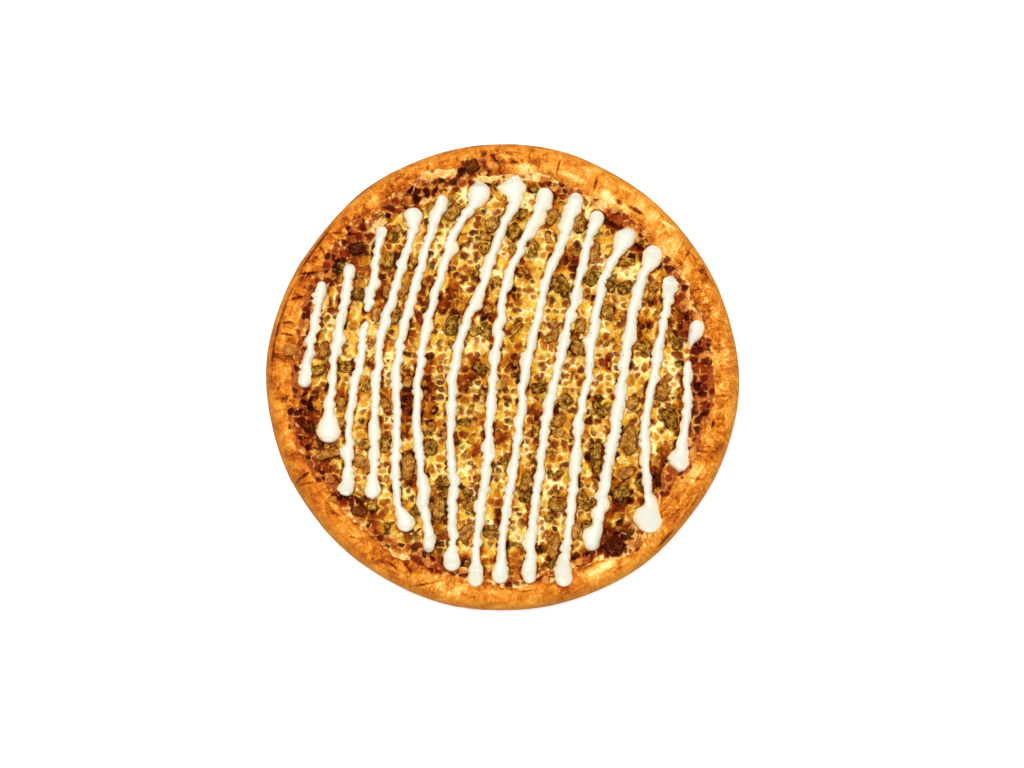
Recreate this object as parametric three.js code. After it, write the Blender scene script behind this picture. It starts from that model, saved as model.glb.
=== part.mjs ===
// A 12 inch beef pizza: a baked crust with a raised rim, a layer of tomato sauce that has
// darkened along its edge, melted cheese, crumbles and strips of beef, and lines of creamy
// white sauce piped over the top.
//
// Millimetres, +Z up. The origin is under the middle of the pizza, on the surface it lies on.
// The +Y side is the far side of the pizza, where the white lines start.

import * as THREE from 'three';

// Crust: a flat foot, a round outer wall, a crest, and a slope down to a flat floor.
const PIZZA_RADIUS = 151.6;
const CREST_HEIGHT = 18.6;
const WAIST_HEIGHT = 6.5;
const FLOOR_HEIGHT = 9.5;
const FOOT_INSET = 5.5;
const CREST_INSET = 10.5;
const SLOPE_RUN = 19;
const INNER_RING_RADIUS = 62;

// Layers that lie on the crust's floor, and the air kept between two pieces that touch.
const SAUCE_THICKNESS = 1.2;
const SAUCE_RADIUS = 133;
const CHEESE_RADIUS = 126;
const CHEESE_LEVEL = 14.1;
const CHEESE_EDGE_THICKNESS = 1;
const CHEESE_SHOULDER = 1.6;
const CHEESE_SHOULDER_RUN = 4;
const CHEESE_STEPS = 6;
const SAUCE_EDGE_RUN = 0.5;
const LAYER_GAP = 0.42;
const REST_GAP = 0.45;

// White sauce: half the width and the height of a piped line, how much its width swells and
// shrinks, how far apart its sections lie, and the steps over each round end.
const LINE_HALF_WIDTH = 2.9;
const LINE_HEIGHT = 2.9;
const LINE_SWELL = 0.14;
const LINE_STEP = 12;
const LINE_END_STEPS = [0.15, 0.5, 1];
const LINE_END_TAPER = 0.9;

// The stations where a line's x is listed lie this far apart, and the first one lies at least
// this far from the line's first end.
const LINE_STATION_SPACING = 30;
const LINE_STATION_CLEARANCE = 9;

// Beef: the height of a piece is this, and this share of its width besides.
const BEEF_LEAST_HEIGHT = 1.4;
const BEEF_HEIGHT_SHARE = 0.33;

// Steps round the pizza and along its profile.
const ROUND_STEPS = 64;
const FOOT_STEPS = 3;
const WALL_STEPS = 5;
const SLOPE_STEPS = 3;
const BEEF_SIDES = 7;
const REST_STEPS = 12;

// The outline of the crust. Each wave is [turns round the pizza, height in mm, phase in radians].
// The wave of one turn cancels the step that the wave of three makes, so the crust stays centred.
const OUTLINE_WAVES = [
  [1, 0.5, Math.PI / 2], [3, 0.5, Math.PI / 2], [4, 0.63, 0], [6, 0.27, 0], [8, 0.25, 1.2],
  [14, 0.18, 0.4],
];
const CREST_WAVES = [[3, 0.5, 0.8], [7, 0.3, 2.1], [11, 0.25, 4]];

// Where a layer reaches further out or stops short: [direction in degrees, mm, half width in degrees].
const SAUCE_REACH = [
  [45, -3, 18], [108, 8, 10], [134, 4, 14], [160, 2, 10], [198, 5, 10],
  [238, 2, 16], [270, 3, 10], [305, 6, 9], [326, -5, 10],
];
const CHEESE_REACH = [[0, -6, 26], [90, 3, 14], [200, 2, 12], [270, 4, 20], [326, -4, 14]];
const SAUCE_WAVES = [[1, 1.5, 1.26], [13, 0.7, 0.5], [22, 0.5, 2]];
const CHEESE_WAVES = [[1, 1.5, 1.26], [9, 1.1, 1.5], [17, 0.9, 0.2], [25, 0.6, 3]];

// White lines, from the left side to the right: [x, y, end radius] of the first and the last end,
// and between them the x where the line crosses each station, from the far side to the near side.
const WHITE_LINES = [
  { first: [-116, 59.5, 3.4], across: [-121.5, -127], last: [-128, -9.5, 4.3] },
  { first: [-98.5, 71.5, 4.5], across: [-100, -104.5, -109, -111], last: [-112, -45.5, 8] },
  { first: [-78, 96.5, 3.8], across: [-83.5], last: [-88, 39, 2.4] },
  { first: [-88.5, 34, 2.4], across: [-93, -98.5, -98.5], last: [-100, -80, 5] },
  { first: [-58, 109, 6], across: [-58.5, -68.5, -77, -80.5, -82.5, -82.5], last: [-82.5, -82, 5] },
  { first: [-38.5, 116, 4.2], across: [-47, -55.5, -64, -68, -67.5, -69, -66], last: [-58.5, -102, 5.6] },
  { first: [-11, 125, 7.3], across: [-32, -41, -49, -54, -55.5, -52.5, -49.5], last: [-46.5, -115.5, 4] },
  { first: [5.5, 129.2, 8], across: [9, -2, -12, -24.5, -31.5, -33.5, -32, -31.5], last: [-32.5, -127.5, 5.6] },
  { first: [30, 121, 5.6], across: [15.5, 3, -2.5, -5.5, -8.5, -10, -14, -17.5], last: [-17, -138, 5.2] },
  { first: [49, 118, 6], across: [39.5, 28, 21, 14.5, 11, 7, 2, -1], last: [-2, -135.5, 5.4] },
  { first: [63.5, 106.5, 5.6], across: [56.5, 49.5, 42, 35, 28.5, 24, 20, 18], last: [16.5, -135.5, 4.4] },
  { first: [84, 95, 6.6], across: [64.5, 59, 55.5, 49, 46.5, 43, 40], last: [38, -138, 5.6] },
  { first: [100.5, 83.5, 6.8], across: [89.5, 82, 77.5, 73, 67.5, 62], last: [55, -114.5, 6.2], halfWidth: 3.6 },
  { first: [109.5, 64, 5], across: [103.5, 97.5, 91.5, 91, 94], last: [91, -103, 8.5] },
  { first: [127, 34.5, 5.4], across: [], last: [121, 17, 1] },
  { first: [119.5, 8.5, 2.4], across: [118], last: [112.5, -64, 6] },
];

// Beef: [x, y, length, width, direction of the long side in degrees].
const BEEF_PIECES = [
  [-7.3, 97, 11, 8.5, 60], [-19.5, 134.5, 10, 8, 30], [-33, 105, 13, 8, 50],
  [31.5, 102, 12, 7, 60], [19.5, 80, 13, 6, 75], [38, 57.5, 15, 10, 115], [50, 97, 11, 8, 75],
  [60, 77.5, 16, 5.5, 85], [70.5, 57.5, 12, 5.5, 80], [79.2, 56, 11, 9, 20],
  [-73.5, 72.5, 12, 6.5, 80], [-64.2, 54, 12, 5.5, 65], [-94, 81.5, 10, 8, 10],
  [-93, 51, 10, 7, 80], [-137, 14, 12, 7.5, 10], [-115, 14, 13, 5.5, 80], [-69.2, 36, 10, 5.5, 72],
  [-75, -22, 12, 5, 115], [-112, -53, 15, 6.5, 20], [-33, 31, 13, 8, 80], [8.5, 29, 13, 5, 40],
  [-14.5, 2.5, 10, 7, 150], [34, 26, 14, 5, 85], [48, 16.5, 11, 9, 70],
  [22.5, -10.5, 9.5, 6.5, 0], [40, -18, 9, 8, 50], [50, 30, 12, 7, 70], [68, 40, 8.5, 8, 10],
  [110, 21, 14, 5, 112], [103, -12, 11, 8, 60], [61.5, -22, 15, 6, 118],
  [81.3, -44, 19, 11.5, 85], [107, -30, 13, 9, 120], [-60.5, -60.5, 19, 8.5, 88],
  [-92, -89, 10, 8, 0], [-22.5, -79, 13, 4.5, 122], [14.5, -70.5, 13, 6, 80],
  [76, -78, 11.5, 10, 30], [70.5, -111.5, 13, 11, 0], [-40.5, -88, 17, 8, 85],
];

const materials = {
  crust: new THREE.MeshStandardMaterial({ color: 0xd6833a, roughness: 0.62, metalness: 0 }),
  tomatoSauce: new THREE.MeshStandardMaterial({ color: 0x7a2f14, roughness: 0.45, metalness: 0 }),
  cheese: new THREE.MeshStandardMaterial({ color: 0xe2a64c, roughness: 0.42, metalness: 0 }),
  whiteSauce: new THREE.MeshStandardMaterial({ color: 0xfaf7e6, roughness: 0.3, metalness: 0 }),
  beef: new THREE.MeshStandardMaterial({ color: 0x8a6234, roughness: 0.6, metalness: 0 }),
};

const pizza = new THREE.Group();

function addNode(name, geometry, material) {
  const mesh = new THREE.Mesh(geometry, material);
  mesh.name = name;
  pizza.add(mesh);
}

function nodeName(stem, index) {
  return `${stem}_${String(index + 1).padStart(2, '0')}`;
}

// Two triangles for a quad, split along its shorter diagonal, so that facing layers bend alike.
function quad(points, a, b, c, d) {
  const splitAtA = points[a].distanceTo(points[c]) < points[b].distanceTo(points[d]);
  return splitAtA ? [a, b, c, a, c, d] : [a, b, d, b, c, d];
}

// A closed skin from one pole, through rings with equal numbers of points, to the other pole.
// Seen from the last pole, each ring runs anticlockwise.
function closedLoft(firstPole, rings, lastPole) {
  const sides = rings[0].length;
  const points = [firstPole, ...rings.flat(), lastPole];
  const at = (ring, side) => 1 + ring * sides + (side % sides);
  const faces = [];
  for (let side = 0; side < sides; side += 1) {
    faces.push(0, at(0, side + 1), at(0, side));
    for (let ring = 0; ring < rings.length - 1; ring += 1) {
      const corners = [at(ring, side), at(ring, side + 1), at(ring + 1, side + 1), at(ring + 1, side)];
      faces.push(...quad(points, ...corners));
    }
    faces.push(points.length - 1, at(rings.length - 1, side), at(rings.length - 1, side + 1));
  }
  const geometry = new THREE.BufferGeometry().setFromPoints(points);
  geometry.setIndex(faces);
  geometry.computeVertexNormals();
  return geometry;
}

function polarPoint(radius, theta, height) {
  return new THREE.Vector3(radius * Math.cos(theta), radius * Math.sin(theta), height);
}

// Turns a profile, a list of [radius, height] that may change with the direction, about the Z axis.
function turnedSolid(firstHeight, profileAt, lastHeight) {
  const directions = Array.from({ length: ROUND_STEPS }, (_, step) => (2 * Math.PI * step) / ROUND_STEPS);
  const profiles = directions.map(profileAt);
  const rings = profiles[0].map((_, row) => directions.map(
    (theta, step) => polarPoint(profiles[step][row][0], theta, profiles[step][row][1]),
  ));
  return closedLoft(polarPoint(0, 0, firstHeight), rings, polarPoint(0, 0, lastHeight));
}

function waves(theta, list) {
  return list.reduce((sum, [turns, height, phase]) => sum + height * Math.cos(turns * theta + phase), 0);
}

// Adds a soft bump to a radius in each listed direction.
function reach(theta, list) {
  return list.reduce((sum, [degrees, size, halfWidth]) => {
    const offset = theta - THREE.MathUtils.degToRad(degrees);
    const nearest = Math.atan2(Math.sin(offset), Math.cos(offset));
    const spread = nearest / THREE.MathUtils.degToRad(halfWidth);
    return sum + size * Math.exp(-spread * spread);
  }, 0);
}

function crustRadius(theta) {
  return PIZZA_RADIUS + waves(theta, OUTLINE_WAVES);
}

function sauceRadius(theta) {
  return SAUCE_RADIUS + reach(theta, SAUCE_REACH) + waves(theta, SAUCE_WAVES);
}

function cheeseRadius(theta) {
  return CHEESE_RADIUS + reach(theta, CHEESE_REACH) + waves(theta, CHEESE_WAVES);
}

function floorRadius(theta) {
  return crustRadius(theta) - CREST_INSET - SLOPE_RUN;
}

// Even steps from one radius to another, without the first.
function radiiBetween(from, to, steps) {
  return Array.from({ length: steps }, (_, step) => from + ((to - from) * (step + 1)) / steps);
}

// Radii up the slope from the floor to the edge of the sauce, which crust and sauce share.
function coveredSlope(theta) {
  const floor = floorRadius(theta);
  return [floor, ...radiiBetween(floor, sauceRadius(theta), SLOPE_STEPS)];
}

// The crust's upper face: a quarter ellipse up the wall, then half a cosine wave down to the floor.
function crustTop(radius, theta) {
  const inset = crustRadius(theta) - radius;
  const crest = CREST_HEIGHT + waves(theta, CREST_WAVES);
  if (inset < CREST_INSET) {
    const fromCrest = Math.min(1, (CREST_INSET - inset) / CREST_INSET);
    return WAIST_HEIGHT + (crest - WAIST_HEIGHT) * Math.sqrt(1 - fromCrest * fromCrest);
  }
  const down = Math.min(1, (inset - CREST_INSET) / SLOPE_RUN);
  return FLOOR_HEIGHT + (crest - FLOOR_HEIGHT) * (0.5 + 0.5 * Math.cos(Math.PI * down));
}

function sauceTop(radius, theta) {
  return crustTop(radius, theta) + LAYER_GAP + SAUCE_THICKNESS;
}

function cheeseTop(radius, theta) {
  const x = radius * Math.cos(theta);
  const y = radius * Math.sin(theta);
  const melted = 0.35 * Math.sin(x / 11 + 1) * Math.cos(y / 13) + 0.25 * Math.sin((x + y) / 7);
  return Math.max(CHEESE_LEVEL + melted, sauceTop(radius, theta) + LAYER_GAP + CHEESE_EDGE_THICKNESS);
}

// The highest baked surface at a point, which is what beef and white sauce lie on.
function surfaceTop(x, y) {
  const radius = Math.hypot(x, y);
  const theta = Math.atan2(y, x);
  if (radius < cheeseRadius(theta)) {
    return cheeseTop(radius, theta);
  }
  return radius < sauceRadius(theta) ? sauceTop(radius, theta) : crustTop(radius, theta);
}

// The lowest height at which a piece of the given radius clears the surface beneath it.
function restHeight(x, y, radius) {
  const heights = [surfaceTop(x, y)];
  for (const share of [0.5, 1]) {
    for (let step = 0; step < REST_STEPS; step += 1) {
      const theta = (2 * Math.PI * step) / REST_STEPS;
      heights.push(surfaceTop(x + share * radius * Math.cos(theta), y + share * radius * Math.sin(theta)));
    }
  }
  return Math.max(...heights) + REST_GAP;
}

// Crust, from the middle of its underside, round the wall and back to the middle of its floor.
function crustProfile(theta) {
  const edge = crustRadius(theta);
  const profile = [[INNER_RING_RADIUS, 0]];
  for (let step = 0; step < FOOT_STEPS; step += 1) {
    const angle = (Math.PI / 2) * (step / FOOT_STEPS - 1);
    profile.push([edge - FOOT_INSET * (1 - Math.cos(angle)), WAIST_HEIGHT * (1 + Math.sin(angle))]);
  }
  for (let step = 0; step < WALL_STEPS; step += 1) {
    const inset = CREST_INSET * (1 - Math.cos((Math.PI / 2) * (step / WALL_STEPS)));
    profile.push([edge - inset, crustTop(edge - inset, theta)]);
  }
  const crest = edge - CREST_INSET;
  const bareSlope = radiiBetween(crest, sauceRadius(theta), SLOPE_STEPS).slice(0, -1);
  for (const radius of [crest, ...bareSlope, ...coveredSlope(theta).reverse(), INNER_RING_RADIUS]) {
    profile.push([radius, crustTop(radius, theta)]);
  }
  return profile;
}

// Tomato sauce: an even layer over the floor that runs up the slope to its uneven edge.
function sauceProfile(theta) {
  const edge = sauceRadius(theta);
  const under = [INNER_RING_RADIUS, ...coveredSlope(theta)];
  const over = under.slice(0, -1).reverse();
  return [
    ...under.map((radius) => [radius, crustTop(radius, theta) + LAYER_GAP]),
    [edge - SAUCE_EDGE_RUN, sauceTop(edge - SAUCE_EDGE_RUN, theta)],
    ...over.map((radius) => [radius, sauceTop(radius, theta)]),
  ];
}

// Cheese: lies on the sauce, stops short of its edge, and has a soft, slightly wavy top.
function cheeseProfile(theta) {
  const edge = cheeseRadius(theta);
  const floor = Math.min(floorRadius(theta), edge - 1);
  const shoulder = edge - CHEESE_SHOULDER;
  const flat = shoulder - CHEESE_SHOULDER_RUN;
  const over = [];
  for (let step = CHEESE_STEPS; step >= 1; step -= 1) {
    over.push(flat * (step / CHEESE_STEPS));
  }
  const undersideAt = (radius) => sauceTop(radius, theta) + LAYER_GAP;
  return [
    ...[INNER_RING_RADIUS, floor, edge].map((radius) => [radius, undersideAt(radius)]),
    [shoulder, 0.5 * (undersideAt(shoulder) + cheeseTop(shoulder, theta) + CHEESE_EDGE_THICKNESS)],
    ...over.map((radius) => [radius, cheeseTop(radius, theta)]),
  ];
}

// Half the width of a white line at a distance from one end: round at the end, then as wide as the line.
function endWidth(distance, endRadius, halfWidth) {
  if (distance < endRadius) {
    return Math.sqrt(2 * endRadius * distance - distance * distance);
  }
  const past = (distance - endRadius) / (LINE_END_TAPER * endRadius);
  return halfWidth + (endRadius - halfWidth) * Math.exp(-past * past);
}

function lineRoute({ first, across, last }) {
  const highest = Math.ceil((first[1] - LINE_STATION_CLEARANCE) / LINE_STATION_SPACING) - 1;
  const between = across.map((x, index) => [x, (highest - index) * LINE_STATION_SPACING]);
  const points = [first, ...between, last].map(([x, y]) => new THREE.Vector3(x, y, 0));
  return new THREE.CatmullRomCurve3(points, false, 'centripetal');
}

// Distances along a line at which it gets a section: a few over each round end, then even steps.
function lineSections(length, firstRadius, lastRadius) {
  const middle = length - firstRadius - lastRadius;
  const count = Math.max(1, Math.round(middle / LINE_STEP));
  const even = Array.from({ length: count - 1 }, (_, step) => firstRadius + (middle * (step + 1)) / count);
  return [
    ...LINE_END_STEPS.map((share) => share * firstRadius),
    ...even,
    ...LINE_END_STEPS.map((share) => length - share * lastRadius).reverse(),
  ];
}

// A piped line of sauce: a flat underside and a rounded back, swept along its route.
function whiteLine(line, index) {
  const halfWidth = line.halfWidth ?? LINE_HALF_WIDTH;
  const route = lineRoute(line);
  const length = route.getLength();
  const section = [[1, 0], [0.86, 0.6], [0.4, 1], [-0.4, 1], [-0.86, 0.6], [-1, 0]];
  const centreAt = (distance) => route.getPointAt(distance / length);
  const rings = lineSections(length, line.first[2], line.last[2]).map((distance) => {
    const centre = centreAt(distance);
    const along = route.getTangentAt(distance / length);
    const side = new THREE.Vector3(-along.y, along.x, 0);
    const nearFirst = distance < length / 2;
    const endDistance = nearFirst ? distance : length - distance;
    const endRadius = nearFirst ? line.first[2] : line.last[2];
    const wave = 1 + LINE_SWELL * Math.sin(distance / 4.3 + 2 * index) * Math.cos(distance / 9.1 + index);
    const width = wave * endWidth(endDistance, endRadius, halfWidth);
    const widest = Math.max(halfWidth, endDistance < 3 * endRadius ? endRadius : 0);
    const rest = restHeight(centre.x, centre.y, Math.hypot(widest, LINE_STEP / 2) + 0.5);
    const height = LINE_HEIGHT * Math.min(1.15, 0.35 + 0.7 * (width / halfWidth));
    return section.map(([across, up]) => centre.clone()
      .addScaledVector(side, across * width)
      .setZ(rest + up * height));
  });
  const tip = (distance, ring) => centreAt(distance).setZ(0.7 * ring[0].z + 0.3 * ring[2].z);
  return closedLoft(tip(0, rings[0]), rings, tip(length, rings[rings.length - 1]));
}

// A piece of cooked beef: an uneven pebble with a flattened underside.
function beefPiece([x, y, length, width, degrees], index) {
  const height = BEEF_LEAST_HEIGHT + BEEF_HEIGHT_SHARE * width;
  const rest = restHeight(x, y, length / 2);
  const turn = THREE.MathUtils.degToRad(degrees);
  const levels = [[0.78, 0], [1, 0.42], [0.7, 0.86]];
  const rings = levels.map(([share, up], level) => Array.from({ length: BEEF_SIDES }, (_, side) => {
    const theta = (2 * Math.PI * side) / BEEF_SIDES;
    const lump = 1 - 0.08 * (1 + Math.sin(3.1 * side + 1.7 * index + 0.6 * level));
    const along = 0.5 * length * share * lump * Math.cos(theta);
    const sideways = 0.5 * width * share * lump * Math.sin(theta);
    const point = new THREE.Vector3(along, sideways, rest + up * height);
    return point.applyAxisAngle(new THREE.Vector3(0, 0, 1), turn).add(new THREE.Vector3(x, y, 0));
  }));
  return closedLoft(new THREE.Vector3(x, y, rest), rings, new THREE.Vector3(x, y, rest + height));
}

addNode('crust', turnedSolid(0, crustProfile, FLOOR_HEIGHT), materials.crust);
addNode(
  'tomato_sauce',
  turnedSolid(FLOOR_HEIGHT + LAYER_GAP, sauceProfile, FLOOR_HEIGHT + LAYER_GAP + SAUCE_THICKNESS),
  materials.tomatoSauce,
);
addNode(
  'cheese',
  turnedSolid(sauceTop(0, 0) + LAYER_GAP, cheeseProfile, cheeseTop(0, 0)),
  materials.cheese,
);
WHITE_LINES.forEach((line, index) => {
  addNode(nodeName('white_sauce', index), whiteLine(line, index), materials.whiteSauce);
});
BEEF_PIECES.forEach((piece, index) => {
  addNode(nodeName('beef', index), beefPiece(piece, index), materials.beef);
});

export default pizza;
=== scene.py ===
import math

import bpy
import numpy as np
from mathutils import Matrix, Vector


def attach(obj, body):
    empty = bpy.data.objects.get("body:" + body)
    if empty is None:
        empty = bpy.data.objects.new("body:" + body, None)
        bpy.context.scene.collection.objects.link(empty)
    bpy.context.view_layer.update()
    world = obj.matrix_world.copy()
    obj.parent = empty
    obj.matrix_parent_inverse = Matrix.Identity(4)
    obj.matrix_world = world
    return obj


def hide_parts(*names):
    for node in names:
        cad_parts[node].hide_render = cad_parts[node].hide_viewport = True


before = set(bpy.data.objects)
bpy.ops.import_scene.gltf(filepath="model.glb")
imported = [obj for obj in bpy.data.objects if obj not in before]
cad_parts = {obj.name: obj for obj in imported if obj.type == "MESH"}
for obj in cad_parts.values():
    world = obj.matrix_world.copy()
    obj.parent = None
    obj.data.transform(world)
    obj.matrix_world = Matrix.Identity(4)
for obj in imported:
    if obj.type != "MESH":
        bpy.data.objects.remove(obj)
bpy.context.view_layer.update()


# ---------------------------------------------------------------------------------------------
# Camera
# It looks almost straight down on the pizza, from the near side, with a long lens.
# ---------------------------------------------------------------------------------------------

CAMERA_ELEVATION = math.radians(82)
CAMERA_AZIMUTH = math.radians(3)
CAMERA_DISTANCE = 1.561
AIM = Vector((0.0060, -0.0062, 0.0065))

towards_camera = Vector((
    -math.sin(CAMERA_AZIMUTH) * math.cos(CAMERA_ELEVATION),
    -math.cos(CAMERA_AZIMUTH) * math.cos(CAMERA_ELEVATION),
    math.sin(CAMERA_ELEVATION),
))
right = Vector((0, 1, 0)).cross(towards_camera).normalized()
up = towards_camera.cross(right)
camera_data = bpy.data.cameras.new("camera")
camera_data.lens = 85
camera_data.sensor_width = 36
camera_data.clip_end = 20
camera = bpy.data.objects.new("camera", camera_data)
camera.matrix_world = Matrix.Translation(AIM + towards_camera * CAMERA_DISTANCE) @ Matrix(
    (right, up, towards_camera)
).transposed().to_4x4()
bpy.context.scene.collection.objects.link(camera)
bpy.context.scene.camera = camera


# ---------------------------------------------------------------------------------------------
# Crust
# A disc of yeast dough, stretched thin in the middle and left thick at its edge, and baked on a
# hot floor until the rim is golden. Toppings cover its floor and the foot of the rim.
# ---------------------------------------------------------------------------------------------

MM = 0.001
CAD_DIRECTIONS = 64
CRUST_COLUMNS = 1250

# The rim's section, in mm. It is widest WAIST_HEIGHT up. The flat underside starts FOOT_INSET in
# from there, the crest lies CREST_INSET in, and the slope to the floor is SLOPE_RUN more.
WAIST_HEIGHT = 6.5
FOOT_INSET = 5.5
CREST_INSET = 10.5
SLOPE_RUN = 19.0


def node_points(name):
    """A CAD node's vertices, in millimetres."""
    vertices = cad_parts[name].data.vertices
    flat = np.empty(len(vertices) * 3, np.float32)
    vertices.foreach_get("co", flat)
    return flat.reshape(-1, 3).astype(float) / MM


def round_curve(values):
    """A smooth curve through values at even steps round a circle, as a function of the angle:
    the values' Fourier series."""
    terms = np.fft.rfft(values) / len(values)
    order = np.arange(len(terms))
    terms = terms * np.where((order == 0) | (order == len(values) // 2), 1, 2)

    def curve(angle):
        total = np.zeros(np.shape(angle))
        for turns, term in zip(order, terms):
            total += np.real(term) * np.cos(turns * angle) - np.imag(term) * np.sin(turns * angle)
        return total
    return curve


def most_by_direction(points, amount):
    """The largest amount among a turned node's vertices, in each of its directions."""
    step = 2 * np.pi / CAD_DIRECTIONS
    direction = np.round(np.arctan2(points[:, 1], points[:, 0]) / step).astype(int) % CAD_DIRECTIONS
    most = np.zeros(CAD_DIRECTIONS)
    np.maximum.at(most, direction, amount)
    return most


def reach_curve(points):
    """How far a turned node reaches out, as a function of the angle."""
    return round_curve(most_by_direction(points, np.hypot(points[:, 0], points[:, 1])))


def smoothstep(low, high, value):
    """0 below low, 1 above high, and an S-shaped rise between them."""
    share = np.clip((value - low) / (high - low), 0, 1)
    return share * share * (3 - 2 * share)


def lattice_random(ix, iy, iz, salt):
    """Repeatable random numbers from 0 to 1 for whole-number lattice points: multiply by large
    odd numbers, add, and mix the bits."""
    mask = np.int64(0xFFFFFFFF)
    mixed = (ix * 374761393 + iy * 668265263 + iz * 951274213 + salt * 1274126177) & mask
    mixed = ((mixed ^ (mixed >> 13)) * 1103515245) & mask
    mixed = ((mixed ^ (mixed >> 16)) * 22695477) & mask
    return ((mixed >> 7) & 0xFFFF) / 65535.0


def soft_noise(x, y, z, size, salt):
    """Smooth random hills from -1 to 1, size wide: random lattice values blended by S-curves."""
    corner = [np.floor(v / size).astype(np.int64) for v in (x, y, z)]
    blend = [smoothstep(0, 1, v / size - c) for v, c in zip((x, y, z), corner)]
    total = 0
    for dx in (0, 1):
        for dy in (0, 1):
            for dz in (0, 1):
                share = 1
                for step, part in zip((dx, dy, dz), blend):
                    share = share * (part if step else 1 - part)
                total = total + share * lattice_random(
                    corner[0] + dx, corner[1] + dy, corner[2] + dz, salt)
    return 2 * total - 1


def layered_noise(x, y, z, size, salt, layers=3):
    """Soft noises added up, each half the size and half the strength of the one before."""
    total = 0
    for layer in range(layers):
        total = total + soft_noise(x, y, z, size / 2 ** layer, salt + layer) / 2 ** layer
    return total


def flat_noise(x, y, size, salt, layers=3):
    """Layered noise over a level plane."""
    return layered_noise(x, y, 0 * x, size, salt, layers)


def cells(x, y, z, size, salt, flat=True):
    """Scattered spots, one at a random place in each lattice cell: the distances from each point
    to the nearest and the second nearest, in cells, and the nearest one's own random number."""
    px, py, pz = x / size, y / size, z / size
    cx, cy, cz = (np.floor(v).astype(np.int64) for v in (px, py, pz))
    nearest = np.full(np.shape(px), 9.0)
    second = np.full(np.shape(px), 9.0)
    chosen = np.zeros(np.shape(px))
    for dx in (-1, 0, 1):
        for dy in (-1, 0, 1):
            for dz in ((0,) if flat else (-1, 0, 1)):
                ix, iy, iz = cx + dx, cy + dy, cz + dz
                jitter = [lattice_random(ix, iy, iz, salt + k) for k in (11, 23, 37)]
                depth = 0 if flat else iz + jitter[2] - pz
                gap = np.sqrt((ix + jitter[0] - px) ** 2 + (iy + jitter[1] - py) ** 2 + depth ** 2)
                closer = gap < nearest
                second = np.where(closer, nearest, np.minimum(second, gap))
                chosen = np.where(closer, lattice_random(ix, iy, iz, salt + 53), chosen)
                nearest = np.where(closer, gap, nearest)
    return nearest, second, chosen


crust_points = node_points("crust")
crust_reach = reach_curve(crust_points)
crest_height = round_curve(most_by_direction(crust_points, crust_points[:, 2]))
FLOOR_HEIGHT = crust_points[np.hypot(crust_points[:, 0], crust_points[:, 1]) < 1, 2].max()


def crust_inset(x, y):
    """How far in from the widest line of the crust a point lies."""
    return crust_reach(np.arctan2(y, x)) - np.hypot(x, y)


def crust_swell(x, y, z):
    """How far the dough swells out of its even shape: broad waves, low round bubbles and fine
    puckers, all weaker on the outer wall."""
    broad = 0.6 * layered_noise(x, y, z, 30, 5, 2)
    near, _, kind = cells(x, y, z, 15, 71, flat=False)
    bubble = np.where(kind > 0.6, 1 - smoothstep(0.05, 0.42, near), 0)
    puckers = 0.2 * layered_noise(x, y, z, 4.5, 9, 2)
    return (broad + bubble + puckers) * (0.25 + 0.75 * smoothstep(1, 9, crust_inset(x, y)))


def slope_height(crest, down):
    """Height of the rim's inner slope: half a cosine wave from the crest, where down is 0, to the
    floor, where it is 1."""
    return FLOOR_HEIGHT + (crest - FLOOR_HEIGHT) * (0.5 + 0.5 * np.cos(np.pi * down))


def crust_top(x, y):
    """Height of the crust's upper face: a quarter ellipse up the wall, then the inner slope down
    to the flat floor."""
    inset = crust_inset(x, y)
    crest = crest_height(np.arctan2(y, x))
    from_crest = np.clip((CREST_INSET - inset) / CREST_INSET, 0, 1)
    wall = WAIST_HEIGHT + (crest - WAIST_HEIGHT) * np.sqrt(1 - from_crest ** 2)
    down = np.clip((inset - CREST_INSET) / SLOPE_RUN, 0, 1)
    slope = slope_height(crest, down)
    swell = (1 - smoothstep(0.6, 1, down)) * crust_swell(x, y, slope)
    return np.where(inset < CREST_INSET, wall, slope) + swell


def loft(rows, first, last):
    """Closed skins through rings of points, from a first pole to a last one. rows has the axes
    piece, ring, side and coordinate. Returns the points, the quads and the triangles."""
    pieces, rings, sides = rows.shape[:3]
    points = np.concatenate([rows.reshape(pieces, -1, 3), first[:, None], last[:, None]], axis=1)
    ring, side = np.meshgrid(np.arange(rings - 1), np.arange(sides), indexing="ij")
    here = ring * sides + side
    beside = ring * sides + (side + 1) % sides
    quads = np.stack([here, beside, beside + sides, here + sides], axis=-1).reshape(1, -1, 4)
    turn = np.arange(sides)
    after = (turn + 1) % sides
    first_pole = np.full(sides, rings * sides)
    fan = np.stack([first_pole, after, turn], axis=-1)
    top = (rings - 1) * sides
    last_fan = np.stack([first_pole + 1, top + turn, top + after], axis=-1)
    triangles = np.concatenate([fan, last_fan])[None]
    offset = (np.arange(pieces) * points.shape[1])[:, None, None]
    return points.reshape(-1, 3), (quads + offset).reshape(-1, 4), (triangles + offset).reshape(-1, 3)


def make_piece(name, skin, material, replaced=(), looks=None):
    """A mesh object from a skin in millimetres, with its values for the material, which rides on
    the pizza's one body and stands for the named CAD nodes."""
    points, quads, triangles = skin
    mesh = bpy.data.meshes.new(name)
    mesh.from_pydata((points * MM).tolist(), [], quads.tolist() + triangles.tolist())
    for look, values in (looks or {}).items():
        layer = mesh.attributes.new(look, "FLOAT", "POINT")
        layer.data.foreach_set("value", np.ascontiguousarray(values, np.float32).ravel())
    mesh.shade_smooth()
    mesh.update()
    mesh.materials.append(material)
    piece = bpy.data.objects.new(name, mesh)
    bpy.context.scene.collection.objects.link(piece)
    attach(piece, "root")
    if replaced:
        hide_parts(*replaced)


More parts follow.
